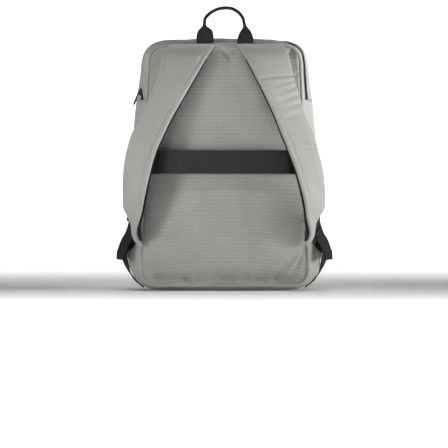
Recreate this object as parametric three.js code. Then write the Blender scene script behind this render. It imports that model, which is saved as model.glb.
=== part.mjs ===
import * as THREE from 'three';

// A laptop backpack standing on its base. Millimetres, +Z up. The back panel with the shoulder
// straps looks towards -Y, +X is to the right of someone who looks at it, and the origin is the
// middle of the flat base. The bag is a hollow shell of sewn walls round an empty compartment.

// Bag body
const BASE_HALF_WIDTH = 138; // middle of the back panel to its side seam, low down
const TOP_HALF_WIDTH = 122; // the same just under the top corners
const PANEL_HEIGHT = 392; // bottom seam to top seam of the back panel
const BASE_DROP = 9; // bottom seam above the floor
const BASE_CORNER = 30; // size of the rounded bottom corners of the back panel
const TOP_CORNER = 28; // size of its rounded top corners
const TOP_ARCH = 4; // rise of the top seam towards its middle
const BASE_DEPTH = 118; // back seam to front seam, low down
const TOP_DEPTH = 92; // back seam to front seam at the top
const SIDE_BULGE = 26; // how far the filled side walls belly out
const FRONT_SPREAD = 8; // how far the front seam stands out past the back seam
const BACK_CROWN = 16; // how far the back panel bellies out of its seam
const FRONT_CROWN = 24; // how far the front panel bellies out of its seam
const BACK_WALL = 3; // padded back panel
const FRONT_WALL = 3; // padded front panel
const FABRIC_WALL = 2; // gussets
const PIPING_DIAMETER = 4.4; // cord sewn into the back seam
const FOLD_DEPTH = 4; // deepest fold pressed into the walls
const GAP = 0.3; // clearance between pieces that touch
const PAD_SEAT = 0.95; // clearance between pad and backing, which twist together

// Zip over the top of the bag
const ZIP_END_HEIGHT = 311; // both ends of the zip, above the floor
const ZIP_SETBACK = 10.5; // back seam to the zip tape
const ZIP_WIDTH = 11; // tape that shows between the two gusset strips
const ZIP_SINK = 0.4; // tape below the fabric
const ZIP_TAPE = 1.2;
const COIL_RISE = 1.2; // closed coil above the tape
const SLIDER_LENGTH = 12;
const SLIDER_WIDTH = 8;
const SLIDER_THICKNESS = 3.6;
const PULL_LENGTH = 23;
const PULL_DIAMETER = 3;

// Shoulder straps
const STRAP_PAD = 10; // padded face
const STRAP_BACKING = 2; // mesh on the wearer's side
const BINDING_SHOWS = 2.5; // backing that shows along the inner edge
const STRAP_BOW = 40; // how far a strap stands off the back panel
const STRAP_SWAY = 4; // how far both straps hang over to one side
const WEBBING_WIDTH = 25;
const WEBBING_THICKNESS = 1.8;
const TAIL_LENGTH = 38; // free end below the ladder lock
const LOCK_BAR = 3.5; // square bars of the ladder lock
const LOCK_SLOT = 7; // clear height of each of its two slots
const LOCK_RIM = 3; // side rails of the ladder lock
const LOCK_HEIGHT = 105; // its top bar above the floor
const LOCK_SETBACK = 13; // back seam to its top bar
const LOCK_TURN = 26; // degrees that it slants back on the side wall

// Band that slides over a trolley handle
const BAND_WIDTH = 38;
const BAND_THICKNESS = 2;
const BAND_HEIGHT = 208; // middle of the band above the floor
const SLEEVE_GAP = 18; // clear depth between band and back panel

// Carrying handle
const HANDLE_HALF_SPAN = 33; // middle of the bag to the middle of a tab
const HANDLE_RISE = 57.5; // top seam to the middle of the arch
const HANDLE_TAB_WIDTH = 28;
const HANDLE_TAB_THICKNESS = 2.4;
const HANDLE_GRIP_WIDTH = 12; // folded webbing, front to back
const HANDLE_GRIP_THICKNESS = 5;

const BACK_Y = -BASE_DEPTH / 2;
const SEAM_BASE = BASE_DROP;
const SEAM_TOP = BASE_DROP + PANEL_HEIGHT;

const FABRIC = { color: '#a3a39e', roughness: 0.9, metalness: 0 };
const MESH_FABRIC = { color: '#2b292b', roughness: 0.95, metalness: 0 };
const WEBBING = { color: '#2f2c2e', roughness: 0.8, metalness: 0 };
const PLASTIC = { color: '#232224', roughness: 0.45, metalness: 0 };
const METAL = { color: '#3c3c3e', roughness: 0.4, metalness: 0.8 };

// How the side walls swell round the back seam. Stations 0 to 5 run up the right half: base,
// base corner, side, top corner and top, one unit each. bulge is a share of SIDE_BULGE and
// spread one of FRONT_SPREAD.
const GUSSET_ROWS = [
  { at: 0, bulge: 0.7, spread: 0 },
  { at: 0.6, bulge: 0.58, spread: 0 },
  { at: 1, bulge: 0.34, spread: 0 },
  { at: 1.5, bulge: 0.38, spread: 0.2 },
  { at: 2, bulge: 0.69, spread: 0.7 },
  { at: 2.1, bulge: 0.92, spread: 0.9 },
  { at: 2.22, bulge: 0.82, spread: 1 },
  { at: 2.4, bulge: 0.76, spread: 1 },
  { at: 2.6, bulge: 0.74, spread: 0.9 },
  { at: 2.8, bulge: 0.67, spread: 0.6 },
  { at: 3, bulge: 0.56, spread: -0.1 },
  { at: 3.5, bulge: 0.64, spread: -0.9 },
  { at: 4, bulge: 0.6, spread: -1 },
  { at: 5, bulge: 0.62, spread: -1 },
];

// Folds pressed into the back panel: middle as shares of the panel's half width and height,
// half length and half width as shares of its height, turn in degrees from level.
const BACK_FOLDS = [
  { name: 'handle pull left', x: -0.06, up: 0.95, length: 0.05, width: 0.02, turn: -55, depth: 0.5 },
  { name: 'handle pull right', x: 0.12, up: 0.955, length: 0.05, width: 0.02, turn: 50, depth: 0.4 },
  { name: 'bottom tuck', x: 0, up: 0.035, length: 0.32, width: 0.022, turn: 0, depth: 0.9 },
  { name: 'corner crease', x: 0.78, up: 0.1, length: 0.08, width: 0.02, turn: 52, depth: 0.5 },
  { name: 'sag left', x: -0.72, up: 0.42, length: 0.14, width: 0.06, turn: 70, depth: 0.9 },
  { name: 'sag right', x: 0.76, up: 0.3, length: 0.12, width: 0.05, turn: -72, depth: 0.6 },
];

// Slack in the front panel, with the same columns.
const FRONT_FOLDS = [
  { name: 'upper slack', x: 0.1, up: 0.78, length: 0.2, width: 0.07, turn: 8, depth: 0.9 },
  { name: 'lower slack', x: -0.35, up: 0.2, length: 0.16, width: 0.06, turn: 25, depth: 0.8 },
  { name: 'corner slack', x: 0.6, up: 0.16, length: 0.12, width: 0.04, turn: -35, depth: 0.7 },
];

// Right shoulder strap from its top seam (drop 0) to its tip. drop is a share of PANEL_HEIGHT,
// inner and outer are the strap's edges as shares of BASE_HALF_WIDTH, innerLift and outerLift how
// far they stand off the back panel as shares of STRAP_BOW, pad the share of its full thickness.
const STRAP_ROWS = [
  { at: 0.01, inner: 0.138, outer: 0.678, innerLift: 0.01, outerLift: 0.01, pad: 0.3 },
  { at: 0.059, inner: 0.222, outer: 0.736, innerLift: 0.09, outerLift: 0.05, pad: 0.85 },
  { at: 0.122, inner: 0.32, outer: 0.778, innerLift: 0.22, outerLift: 0.16, pad: 0.95 },
  { at: 0.238, inner: 0.495, outer: 0.887, innerLift: 0.42, outerLift: 0.36, pad: 1 },
  { at: 0.317, inner: 0.609, outer: 0.975, innerLift: 0.55, outerLift: 0.47, pad: 1 },
  { at: 0.379, inner: 0.683, outer: 1.062, innerLift: 0.68, outerLift: 0.54, pad: 1 },
  { at: 0.433, inner: 0.75, outer: 1.104, innerLift: 0.78, outerLift: 0.57, pad: 1 },
  { at: 0.514, inner: 0.831, outer: 1.155, innerLift: 0.92, outerLift: 0.56, pad: 1 },
  { at: 0.583, inner: 0.886, outer: 1.172, innerLift: 0.98, outerLift: 0.44, pad: 1 },
  { at: 0.644, inner: 0.93, outer: 1.178, innerLift: 0.98, outerLift: 0.24, pad: 1 },
  { at: 0.681, inner: 0.95, outer: 1.17, innerLift: 0.93, outerLift: 0.12, pad: 0.95 },
  { at: 0.71, inner: 0.966, outer: 1.125, innerLift: 0.85, outerLift: 0.04, pad: 0.85 },
  { at: 0.74, inner: 0.99, outer: 1.082, innerLift: 0.74, outerLift: 0, pad: 0.75 },
  { at: 0.765, inner: 1.008, outer: 1.07, innerLift: 0.6, outerLift: 0, pad: 0.65 },
  { at: 0.795, inner: 1.008, outer: 1.06, innerLift: 0.42, outerLift: 0, pad: 0.55 },
  { at: 0.816, inner: 0.986, outer: 1.03, innerLift: 0.28, outerLift: 0.02, pad: 0.5 },
  { at: 0.834, inner: 0.95, outer: 0.98, innerLift: 0.12, outerLift: 0.04, pad: 0.4 },
];

// How both straps hang to the right of their middle, as a share of STRAP_SWAY.
const SWAY_ROWS = [
  { at: 0, shift: 0.6 },
  { at: 0.12, shift: 0.5 },
  { at: 0.25, shift: 0 },
  { at: 0.38, shift: -0.7 },
  { at: 0.46, shift: -0.8 },
  { at: 0.55, shift: -0.4 },
  { at: 0.68, shift: -0.2 },
  { at: 0.74, shift: -0.5 },
  { at: 0.84, shift: -0.45 },
];
const BACKING_STARTS = 0.062; // drop where the backing shows below the sewn top
const BACKING_ENDS = 0.8;
const TWIST_START = 0.6; // below this drop the strap turns edge on, in shorter steps
const LOOP_DROP = 0.715; // where the loop of the ladder lock leaves the strap's edge
const LOOP_SEAT = 3.1; // clearance of its end at the middle, where the edge hollows in
const LOOP_WIDTH = 14.5;
const LOOP_NECK = 4; // straight start of the loop above the lock's top bar
const LOOP_LAP = 10.5; // where its two layers come together, above that bar
const LOOP_END = 5.5; // its end, sewn under the front layer, above that bar

// Soft creases across the pad: drop, half length of the dip along the strap, share of thickness.
const STRAP_CREASES = [
  { at: 0.145, reach: 0.007, dip: 0.22 },
  { at: 0.19, reach: 0.008, dip: 0.1 },
  { at: 0.235, reach: 0.009, dip: 0.12 },
  { at: 0.43, reach: 0.008, dip: 0.12 },
];

// Carrying handle, left tab to right tab. x is a share of HANDLE_HALF_SPAN, rise one of
// HANDLE_RISE, width and thickness go from the tab (1) to the folded grip (0).
const HANDLE_ROWS = [
  { x: -0.955, rise: 0, tab: 1 },
  { x: -0.955, rise: 0.16, tab: 1 },
  { x: -0.955, rise: 0.27, tab: 0.95 },
  { x: -0.965, rise: 0.36, tab: 0.8 },
  { x: -0.975, rise: 0.43, tab: 0.45 },
  { x: -0.98, rise: 0.49, tab: 0.08 },
  { x: -0.98, rise: 0.61, tab: 0 },
  { x: -0.95, rise: 0.7, tab: 0 },
  { x: -0.83, rise: 0.79, tab: 0 },
  { x: -0.63, rise: 0.885, tab: 0 },
  { x: -0.34, rise: 0.965, tab: 0 },
  { x: 0, rise: 1, tab: 0 },
  { x: 0.36, rise: 0.98, tab: 0 },
  { x: 0.64, rise: 0.895, tab: 0 },
  { x: 0.82, rise: 0.79, tab: 0 },
  { x: 0.92, rise: 0.69, tab: 0 },
  { x: 0.96, rise: 0.575, tab: 0 },
  { x: 0.99, rise: 0.5, tab: 0.02 },
  { x: 1.01, rise: 0.43, tab: 0.2 },
  { x: 1.025, rise: 0.35, tab: 0.5 },
  { x: 1.03, rise: 0.25, tab: 0.76 },
  { x: 1.03, rise: 0.14, tab: 0.9 },
  { x: 1.015, rise: 0, tab: 0.95 },
];

// Band across the back panel, right half from the middle outwards. x is a share of the seam's
// half width at that height, out the share of the full stand-off from the back seam.
const BAND_ROWS = [
  { x: 0, out: 1 },
  { x: 0.5, out: 1 },
  { x: 0.68, out: 0.98 },
  { x: 0.8, out: 0.86 },
  { x: 0.88, out: 0.58 },
  { x: 0.93, out: 0.26 },
  { x: 0.975, out: 0 },
];

// Lower webbing where it lies on the side wall, from its sewn end up: station and share across
// the gusset as in GUSSET_ROWS, lift above the surface as a share of the webbing's width.
const ANCHOR_ROWS = [
  { at: 1.42, across: 0.6, lift: 0.02 },
  { at: 1.7, across: 0.58, lift: 0.02 },
  { at: 1.92, across: 0.54, lift: 0.02 },
  { at: 2.02, across: 0.47, lift: 0.05 },
  { at: 2.08, across: 0.37, lift: 0.1 },
];

// Free end of the webbing below the ladder lock: how far out and down it hangs, as shares of
// TAIL_LENGTH, from the lock's middle.
const TAIL_ROWS = [
  { out: 0.13, back: 0, down: 0.22 },
  { out: 0.24, back: 0, down: 0.48 },
  { out: 0.31, back: 0, down: 0.74 },
  { out: 0.33, back: 0, down: 1 },
];

// Value of a column between the rows of a table, on a smooth curve through them.
function between(rows, column, at) {
  const last = rows.length - 1;
  const value = (i) => rows[i][column];
  if (at <= rows[0].at) return value(0);
  if (at >= rows[last].at) return value(last);
  let i = 0;
  while (rows[i + 1].at < at) i++;
  const slope = (k) => {
    const a = Math.max(k - 1, 0);
    const b = Math.min(k + 1, last);
    return (value(b) - value(a)) / (rows[b].at - rows[a].at);
  };
  const span = rows[i + 1].at - rows[i].at;
  const t = (at - rows[i].at) / span;
  const t2 = t * t;
  const t3 = t2 * t;
  return (
    (2 * t3 - 3 * t2 + 1) * value(i) +
    (t3 - 2 * t2 + t) * span * slope(i) +
    (3 * t2 - 2 * t3) * value(i + 1) +
    (t3 - t2) * span * slope(i + 1)
  );
}

function evenSteps(from, to, steps) {
  return Array.from({ length: steps + 1 }, (_, i) => from + ((to - from) * i) / steps);
}

// Half width of the back seam at a height, along its straight sides.
function seamHalfWidth(z) {
  const share = THREE.MathUtils.clamp((z - SEAM_BASE) / (PANEL_HEIGHT - TOP_ARCH), 0, 1);
  return THREE.MathUtils.lerp(BASE_HALF_WIDTH, TOP_HALF_WIDTH, share);
}

// Right half of the back seam, from the middle of the base to the middle of the top.
function backSeamPath() {
  const base = SEAM_BASE;
  const top = SEAM_TOP - TOP_ARCH;
  const topFlat = TOP_HALF_WIDTH - TOP_CORNER;
  const cornerRise = (TOP_ARCH * TOP_CORNER) / (TOP_HALF_WIDTH - topFlat / 2);
  const path = new THREE.Path();
  path.moveTo(0, base);
  path.lineTo(BASE_HALF_WIDTH - BASE_CORNER, base);
  path.quadraticCurveTo(BASE_HALF_WIDTH, base, seamHalfWidth(base + BASE_CORNER), base + BASE_CORNER);
  path.lineTo(seamHalfWidth(top - TOP_CORNER), top - TOP_CORNER);
  path.quadraticCurveTo(TOP_HALF_WIDTH, top, topFlat, top + cornerRise);
  path.quadraticCurveTo(topFlat / 2, SEAM_TOP, 0, SEAM_TOP);
  return path;
}

const backSeam = backSeamPath();
const TOP_STATION = backSeam.curves.length;
const RING_STATION = 2 * TOP_STATION;

// Point and outward direction on the back seam. Stations past the top come down the left side.
function seamAt(station) {
  const around = ((station % RING_STATION) + RING_STATION) % RING_STATION;
  const mirrored = around > TOP_STATION;
  const half = mirrored ? RING_STATION - around : around;
  const index = Math.min(Math.floor(half), TOP_STATION - 1);
  const point = backSeam.curves[index].getPoint(half - index);
  const tangent = backSeam.curves[index].getTangent(half - index);
  const side = mirrored ? -1 : 1;
  return { x: side * point.x, z: point.y, outX: side * tangent.y, outZ: -tangent.x, half };
}

// Station on the right side wall at a height.
function sideStation(z) {
  const start = backSeam.curves[2].getPoint(0).y;
  const end = backSeam.curves[2].getPoint(1).y;
  return 2 + (z - start) / (end - start);
}

function depthAt(z) {
  const share = THREE.MathUtils.smoothstep(z, SEAM_BASE + BASE_CORNER, SEAM_TOP);
  return THREE.MathUtils.lerp(BASE_DEPTH, TOP_DEPTH, share);
}

// Middle of the gusset's outer face. across goes from the back seam (0) to the front seam (1).
function gussetFace(station, across) {
  const seam = seamAt(station);
  const bulge = between(GUSSET_ROWS, 'bulge', seam.half) * SIDE_BULGE;
  const spread = between(GUSSET_ROWS, 'spread', seam.half) * FRONT_SPREAD;
  const out = bulge * Math.sin(Math.PI * across) + spread * across;
  const y = BACK_Y + across * depthAt(seam.z);
  const z = seam.z + seam.outZ * out;
  return new THREE.Vector3(seam.x + seam.outX * out, y, Math.max(z, 0));
}

function gussetNormal(station, across) {
  const step = 0.01;
  const along = gussetFace(station + step, across).sub(gussetFace(station - step, across));
  const over = gussetFace(station, across + step).sub(gussetFace(station, across - step));
  return over.cross(along).normalize();
}

function gussetPoint(station, across, lift = 0) {
  return gussetFace(station, across).addScaledVector(gussetNormal(station, across), lift);
}

// Depth of the folds of a table at a point of the panel.
function foldDepth(folds, x, z) {
  return folds.reduce((sum, fold) => {
    const turn = THREE.MathUtils.degToRad(fold.turn);
    const dx = x - fold.x * BASE_HALF_WIDTH;
    const dz = z - SEAM_BASE - fold.up * PANEL_HEIGHT;
    const along = (dx * Math.cos(turn) + dz * Math.sin(turn)) / (fold.length * PANEL_HEIGHT);
    const over = (dz * Math.cos(turn) - dx * Math.sin(turn)) / (fold.width * PANEL_HEIGHT);
    return sum + fold.depth * FOLD_DEPTH * Math.exp(-along * along - over * over);
  }, 0);
}

// Belly of a sewn panel: flat in the middle, falling to nothing at its seam.
function panelCrown(crown, x, z, top) {
  const across = Math.min(Math.abs(x) / seamHalfWidth(z), 1);
  const height = THREE.MathUtils.clamp((z - SEAM_BASE) / (top - SEAM_BASE), 0, 1);
  return crown * (1 - across ** 3) * (1 - Math.abs(2 * height - 1) ** 6);
}

function backPanelY(x, z) {
  const crown = panelCrown(BACK_CROWN, x, z, SEAM_TOP);
  const folds = foldDepth(BACK_FOLDS, x, z) * (crown / BACK_CROWN);
  return BACK_Y - crown + folds;
}

function frontPanelY(x, z) {
  const crown = panelCrown(FRONT_CROWN, x, z, SEAM_TOP - FRONT_SPREAD);
  const folds = foldDepth(FRONT_FOLDS, x, z) * (crown / FRONT_CROWN);
  return BACK_Y + depthAt(z) + crown - folds;
}

// Turns points and faces into a geometry whose faces look out, whichever way they were listed.
function solid(points, faces) {
  const volume = faces.reduce((sum, [a, b, c]) => {
    return sum + points[a].dot(points[b].clone().cross(points[c]));
  }, 0);
  const outward = volume < 0 ? faces.map(([a, b, c]) => [a, c, b]) : faces;
  const geometry = new THREE.BufferGeometry();
  geometry.setAttribute(
    'position',
    new THREE.Float32BufferAttribute(points.flatMap((p) => p.toArray()), 3),
  );
  geometry.setIndex(outward.flat());
  geometry.computeVertexNormals();
  return geometry;
}

// One wall between an outer and an inner grid of points. A loop joins its last row to its first.
function wall(outer, inner, loop = false) {
  const rows = outer.length;
  const columns = outer[0].length;
  const points = [...outer.flat(), ...inner.flat()];
  const faces = [];
  const at = (i, j, layer) => (layer * rows + (i % rows)) * columns + j;
  const quad = (a, b, c, d) => faces.push([a, b, c], [a, c, d]);
  const end = columns - 1;
  for (let i = 0; i < (loop ? rows : rows - 1); i++) {
    for (let j = 0; j < end; j++) {
      quad(at(i, j, 0), at(i + 1, j, 0), at(i + 1, j + 1, 0), at(i, j + 1, 0));
      quad(at(i, j, 1), at(i, j + 1, 1), at(i + 1, j + 1, 1), at(i + 1, j, 1));
    }
    quad(at(i + 1, 0, 0), at(i, 0, 0), at(i, 0, 1), at(i + 1, 0, 1));
    quad(at(i, end, 0), at(i + 1, end, 0), at(i + 1, end, 1), at(i, end, 1));
  }
  for (let j = 0; j < end && !loop; j++) {
    const last = rows - 1;
    quad(at(0, j, 0), at(0, j + 1, 0), at(0, j + 1, 1), at(0, j, 1));
    quad(at(last, j + 1, 0), at(last, j, 0), at(last, j, 1), at(last, j + 1, 1));
  }
  return solid(points, faces);
}

// Skin over a row of convex sections, capped at both ends or closed into a ring.
function loft(sections, ring = false) {
  const count = sections[0].length;
  const points = sections.flat();
  const faces = [];
  const at = (i, j) => (i % sections.length) * count + (j % count);
  for (let i = 0; i < (ring ? sections.length : sections.length - 1); i++) {
    for (let j = 0; j < count; j++) {
      faces.push([at(i, j), at(i + 1, j), at(i + 1, j + 1)], [at(i, j), at(i + 1, j + 1), at(i, j + 1)]);
    }
  }
  for (let j = 1; j < count - 1 && !ring; j++) {
    faces.push([at(0, 0), at(0, j), at(0, j + 1)]);
    const last = sections.length - 1;
    faces.push([at(last, 0), at(last, j + 1), at(last, j)]);
  }
  return solid(points, faces);
}

// Flat oval section with soft edges, spanned by two half axes.
function ovalSection(centre, halfAcross, halfUp, corners, power) {
  return Array.from({ length: corners }, (_, i) => {
    const angle = (2 * Math.PI * (i + 0.5)) / corners;
    const across = Math.sign(Math.cos(angle)) * Math.abs(Math.cos(angle)) ** power;
    const up = Math.sign(Math.sin(angle)) * Math.abs(Math.sin(angle)) ** power;
    return centre.clone().addScaledVector(halfAcross, across).addScaledVector(halfUp, up);
  });
}

// Flat webbing through points, with its width along the direction given at each point.
function webbing(points, acrosses, width, thickness, steps) {
  const path = new THREE.CatmullRomCurve3(points, false, 'centripetal');
  const sections = evenSteps(0, 1, steps).map((t) => {
    const along = t * (points.length - 1);
    const i = Math.min(Math.floor(along), points.length - 2);
    const across = acrosses[i].clone().lerp(acrosses[i + 1], along - i);
    const tangent = path.getTangent(t);
    across.addScaledVector(tangent, -across.dot(tangent)).normalize();
    const up = tangent.clone().cross(across).multiplyScalar(thickness / 2);
    const centre = path.getPoint(t);
    const half = across.multiplyScalar(width / 2);
    return [[1, 1], [-1, 1], [-1, -1], [1, -1]].map(([a, b]) => {
      return centre.clone().addScaledVector(half, a).addScaledVector(up, b);
    });
  });
  return loft(sections);
}

function mirrored(geometry) {
  const position = geometry.getAttribute('position');
  const points = Array.from({ length: position.count }, (_, i) => {
    return new THREE.Vector3(-position.getX(i), position.getY(i), position.getZ(i));
  });
  const index = geometry.index ? Array.from(geometry.index.array) : [...points.keys()];
  const faces = Array.from({ length: index.length / 3 }, (_, i) => index.slice(3 * i, 3 * i + 3));
  return solid(points, faces);
}

// Stations round the whole ring, closer together in the corners.
function ringStations() {
  const steps = [5, 4, 11, 5, 5];
  const half = steps.flatMap((n, i) => evenSteps(i, i + 1, n).slice(0, -1));
  const left = [...half.slice(1), TOP_STATION].reverse().map((s) => RING_STATION - s);
  return [...half, TOP_STATION, ...left.filter((s) => s > TOP_STATION)].sort((a, b) => a - b);
}

// Share across the gusset at a distance from the back seam.
function acrossAt(station, distance) {
  return distance / depthAt(seamAt(station).z);
}

// Wall of the gusset along some stations, with the shares across given by a function.
function gussetStrip(stations, acrosses, thickness) {
  const grid = (lift) => stations.map((s) => acrosses(s).map((v) => gussetPoint(s, v, lift)));
  return wall(grid(0), grid(-thickness));
}

const GUSSET_EDGE = PIPING_DIAMETER / 2 + GAP;
const ZIP_FAR = ZIP_SETBACK + ZIP_WIDTH;
const ZIP_STATION = sideStation(ZIP_END_HEIGHT);
const GAP_STATION = (sideStation(ZIP_END_HEIGHT + GAP) - ZIP_STATION) / 2;

// Part of the ring from one zip end over the top to the other.
function zipStations() {
  const from = ZIP_STATION + GAP_STATION;
  const to = RING_STATION - ZIP_STATION - GAP_STATION;
  const inner = ringStations().filter((s) => s > from + 0.02 && s < to - 0.02);
  return [from, ...inner, to];
}

function backPiping() {
  const radius = PIPING_DIAMETER / 2;
  const sections = ringStations().map((station) => {
    const { x, z, outX, outZ } = seamAt(station);
    const out = new THREE.Vector3(outX, 0, outZ).multiplyScalar(radius);
    return ovalSection(new THREE.Vector3(x, BACK_Y, z), out, new THREE.Vector3(0, radius, 0), 6, 1);
  });
  return loft(sections, true);
}

// Grid of a panel: rows follow the seam up from the bottom corner, columns go across.
function panelGrid(edge, depth, columns) {
  const stations = [1, 2, 3].flatMap((i) => evenSteps(i, i + 1, i === 2 ? 13 : 5).slice(0, -1));
  return [...stations, TOP_STATION - 1].map((station) => {
    const end = edge(station);
    const top = edge(TOP_STATION).z;
    const corner = edge(TOP_STATION - 1).z;
    const arch = (top - corner) * THREE.MathUtils.smoothstep(end.z, (SEAM_BASE + SEAM_TOP) / 2, corner);
    return evenSteps(-1, 1, columns).map((share) => {
      const x = share * end.x;
      const z = end.z + arch * (1 - share * share);
      return new THREE.Vector3(x, depth(x, z), z);
    });
  });
}

function offsetGrid(grid, y) {
  return grid.map((row) => row.map((p) => p.clone().setY(p.y + y)));
}

function backPanel() {
  const inset = PIPING_DIAMETER / 2 + GAP;
  const edge = (station) => {
    const { x, z, outX, outZ } = seamAt(station);
    return { x: x - outX * inset, z: z - outZ * inset };
  };
  const outer = panelGrid(edge, backPanelY, 15);
  return wall(outer, offsetGrid(outer, BACK_WALL));
}

function frontPanel() {
  const inset = FABRIC_WALL + 3 * GAP;
  const edge = (station) => {
    const { x, z, outX, outZ, half } = seamAt(station);
    const out = between(GUSSET_ROWS, 'spread', half) * FRONT_SPREAD - inset;
    return { x: x + outX * out, z: z + outZ * out };
  };
  const outer = panelGrid(edge, frontPanelY, 12);
  return wall(outer, offsetGrid(outer, -FRONT_WALL));
}

function lowerGusset() {
  const end = ZIP_STATION - GAP_STATION;
  const stations = ringStations().map((s) => (s > TOP_STATION ? s - RING_STATION : s));
  const inner = stations.filter((s) => Math.abs(s) < end - 0.02).sort((a, b) => a - b);
  const shares = [1 / 12, 1 / 6, 1 / 3, 1 / 2, 2 / 3, 5 / 6, 11 / 12, 1];
  const acrosses = (s) => [acrossAt(s, GUSSET_EDGE), ...shares];
  return gussetStrip([-end, ...inner, end], acrosses, FABRIC_WALL);
}

function zipGussetBack() {
  const acrosses = (s) => {
    return evenSteps(acrossAt(s, GUSSET_EDGE), acrossAt(s, ZIP_SETBACK - GAP), 2);
  };
  return gussetStrip(zipStations(), acrosses, FABRIC_WALL);
}

function zipGussetFront() {
  const acrosses = (s) => evenSteps(acrossAt(s, ZIP_FAR + GAP), 1, 4);
  return gussetStrip(zipStations(), acrosses, FABRIC_WALL);
}

// Zip tape with its closed coil as a ridge along the middle.
function zipTape() {
  const middle = (ZIP_SETBACK + ZIP_FAR) / 2;
  const coil = ZIP_WIDTH / 5;
  const distances = [ZIP_SETBACK, middle - coil, middle, middle + coil, ZIP_FAR];
  const rises = [0, 0, COIL_RISE, 0, 0];
  const row = (s, lifts) => distances.map((d, i) => gussetPoint(s, acrossAt(s, d), lifts[i]));
  const outer = zipStations().map((s) => row(s, rises.map((rise) => rise - ZIP_SINK)));
  const inner = zipStations().map((s) => row(s, rises.map(() => -ZIP_SINK - ZIP_TAPE)));
  return wall(outer, inner);
}

// Frame of the zip slider, closed at the left end of the zip.
function sliderFrame() {
  const station = RING_STATION - sideStation(ZIP_END_HEIGHT + SLIDER_LENGTH);
  const across = acrossAt(station, (ZIP_SETBACK + ZIP_FAR) / 2);
  const normal = gussetNormal(station, across);
  const lift = COIL_RISE - ZIP_SINK + GAP + SLIDER_THICKNESS / 2;
  const centre = gussetPoint(station, across, lift);
  const down = gussetFace(station + 0.05, across).sub(gussetFace(station - 0.05, across));
  down.addScaledVector(normal, -down.dot(normal)).normalize();
  return { centre, down, normal, over: normal.clone().cross(down) };
}

function zipSlider() {
  const { centre, down, normal, over } = sliderFrame();
  const rows = [
    { along: -0.5, width: 0.6 },
    { along: -0.2, width: 1 },
    { along: 0.25, width: 1 },
    { along: 0.5, width: 0.7 },
  ];
  const sections = rows.map(({ along, width }) => {
    const middle = centre.clone().addScaledVector(down, along * SLIDER_LENGTH);
    const half = over.clone().multiplyScalar((width * SLIDER_WIDTH) / 2);
    return ovalSection(middle, half, normal.clone().multiplyScalar(SLIDER_THICKNESS / 2), 8, 0.6);
  });
  return loft(sections);
}

// Moulded pull that hangs from the slider and stands out past the side of the bag.
function zipPull() {
  const { centre, normal } = sliderFrame();
  const start = centre.clone().addScaledVector(normal, SLIDER_THICKNESS / 2 + PULL_DIAMETER / 2 + GAP);
  const out = new THREE.Vector3(-0.35, -0.1, -0.93).normalize();
  const end = start.clone().addScaledVector(out, PULL_LENGTH);
  const sections = evenSteps(0, 1, 4).map((t) => {
    const half = (PULL_DIAMETER / 2) * (t > 0.6 ? 1.15 : 0.85);
    const over = new THREE.Vector3(0, half, 0);
    const up = out.clone().cross(over).normalize().multiplyScalar(half);
    return ovalSection(start.clone().lerp(end, t), over, up, 8, 1);
  });
  return loft(sections);
}

// Edges, middle and thickness of a strap at a drop below the top seam, drawn as the right one.
// side is 1 for the right strap and -1 for the left, which is mirrored afterwards.
function strapFrame(side, drop) {
  const value = (column) => between(STRAP_ROWS, column, drop);
  const z = SEAM_TOP - drop * PANEL_HEIGHT;
  const pad = value('pad') * STRAP_PAD;
  const backed = THREE.MathUtils.smoothstep(drop, STRAP_ROWS[0].at, BACKING_STARTS);
  const rest = GAP + pad / 2 + backed * (STRAP_BACKING + PAD_SEAT);
  const sway = side * STRAP_SWAY * between(SWAY_ROWS, 'shift', drop);
  const edge = (share, lift) => {
    const x = share * BASE_HALF_WIDTH;
    return new THREE.Vector3(x + sway, backPanelY(x, z) - rest - lift * STRAP_BOW, z);
  };
  const inner = edge(value('inner'), value('innerLift'));
  const outer = edge(value('outer'), value('outerLift'));
  return { inner, outer, pad, middle: inner.clone().add(outer).multiplyScalar(0.5) };
}

function strapNormal(side, drop) {
  const step = 0.01;
  const { inner, outer } = strapFrame(side, drop);
  const along = strapFrame(side, drop + step).middle.sub(strapFrame(side, drop - step).middle);
  return along.cross(outer.sub(inner)).normalize();
}

function creaseDip(drop) {
  return STRAP_CREASES.reduce((sum, { at, reach, dip }) => {
    return sum + dip * Math.exp(-(((drop - at) / reach) ** 2));
  }, 0);
}

function strapDrops() {
  const first = STRAP_ROWS[0].at;
  const last = STRAP_ROWS[STRAP_ROWS.length - 1].at;
  const creased = STRAP_CREASES.flatMap(({ at, reach }) => [at - reach, at, at + reach]);
  const even = [...evenSteps(first, TWIST_START, 20).slice(0, -1), ...evenSteps(TWIST_START, last, 16)];
  const kept = even.filter((drop) => !creased.some((c) => Math.abs(c - drop) < 0.008));
  return [...kept, ...creased].sort((a, b) => a - b);
}

function strapPad(side) {
  const sections = strapDrops().map((drop) => {
    const { inner, outer, pad, middle } = strapFrame(side, drop);
    const half = outer.sub(inner).multiplyScalar(0.5);
    const up = strapNormal(side, drop).multiplyScalar((pad / 2) * (1 - creaseDip(drop)));
    return ovalSection(middle, half, up, 12, 0.55);
  });
  return loft(sections);
}

// Mesh backing behind the pad, a little past its inner edge.
function strapBacking(side) {
  const drops = strapDrops().filter((drop) => drop >= BACKING_STARTS && drop <= BACKING_ENDS);
  const sections = drops.map((drop) => {
    const { inner, outer, pad, middle } = strapFrame(side, drop);
    const normal = strapNormal(side, drop);
    const half = outer.sub(inner).multiplyScalar(0.5);
    const shift = half.clone().setLength(BINDING_SHOWS / 2).negate();
    const behind = pad / 2 + PAD_SEAT + STRAP_BACKING / 2;
    const centre = middle.add(shift).addScaledVector(normal, -behind);
    const up = normal.clone().multiplyScalar(STRAP_BACKING / 2);
    const narrow = half.length() - BINDING_SHOWS / 2;
    return ovalSection(centre, half.setLength(Math.max(narrow, BINDING_SHOWS)), up, 8, 0.4);
  });
  return loft(sections);
}

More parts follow.
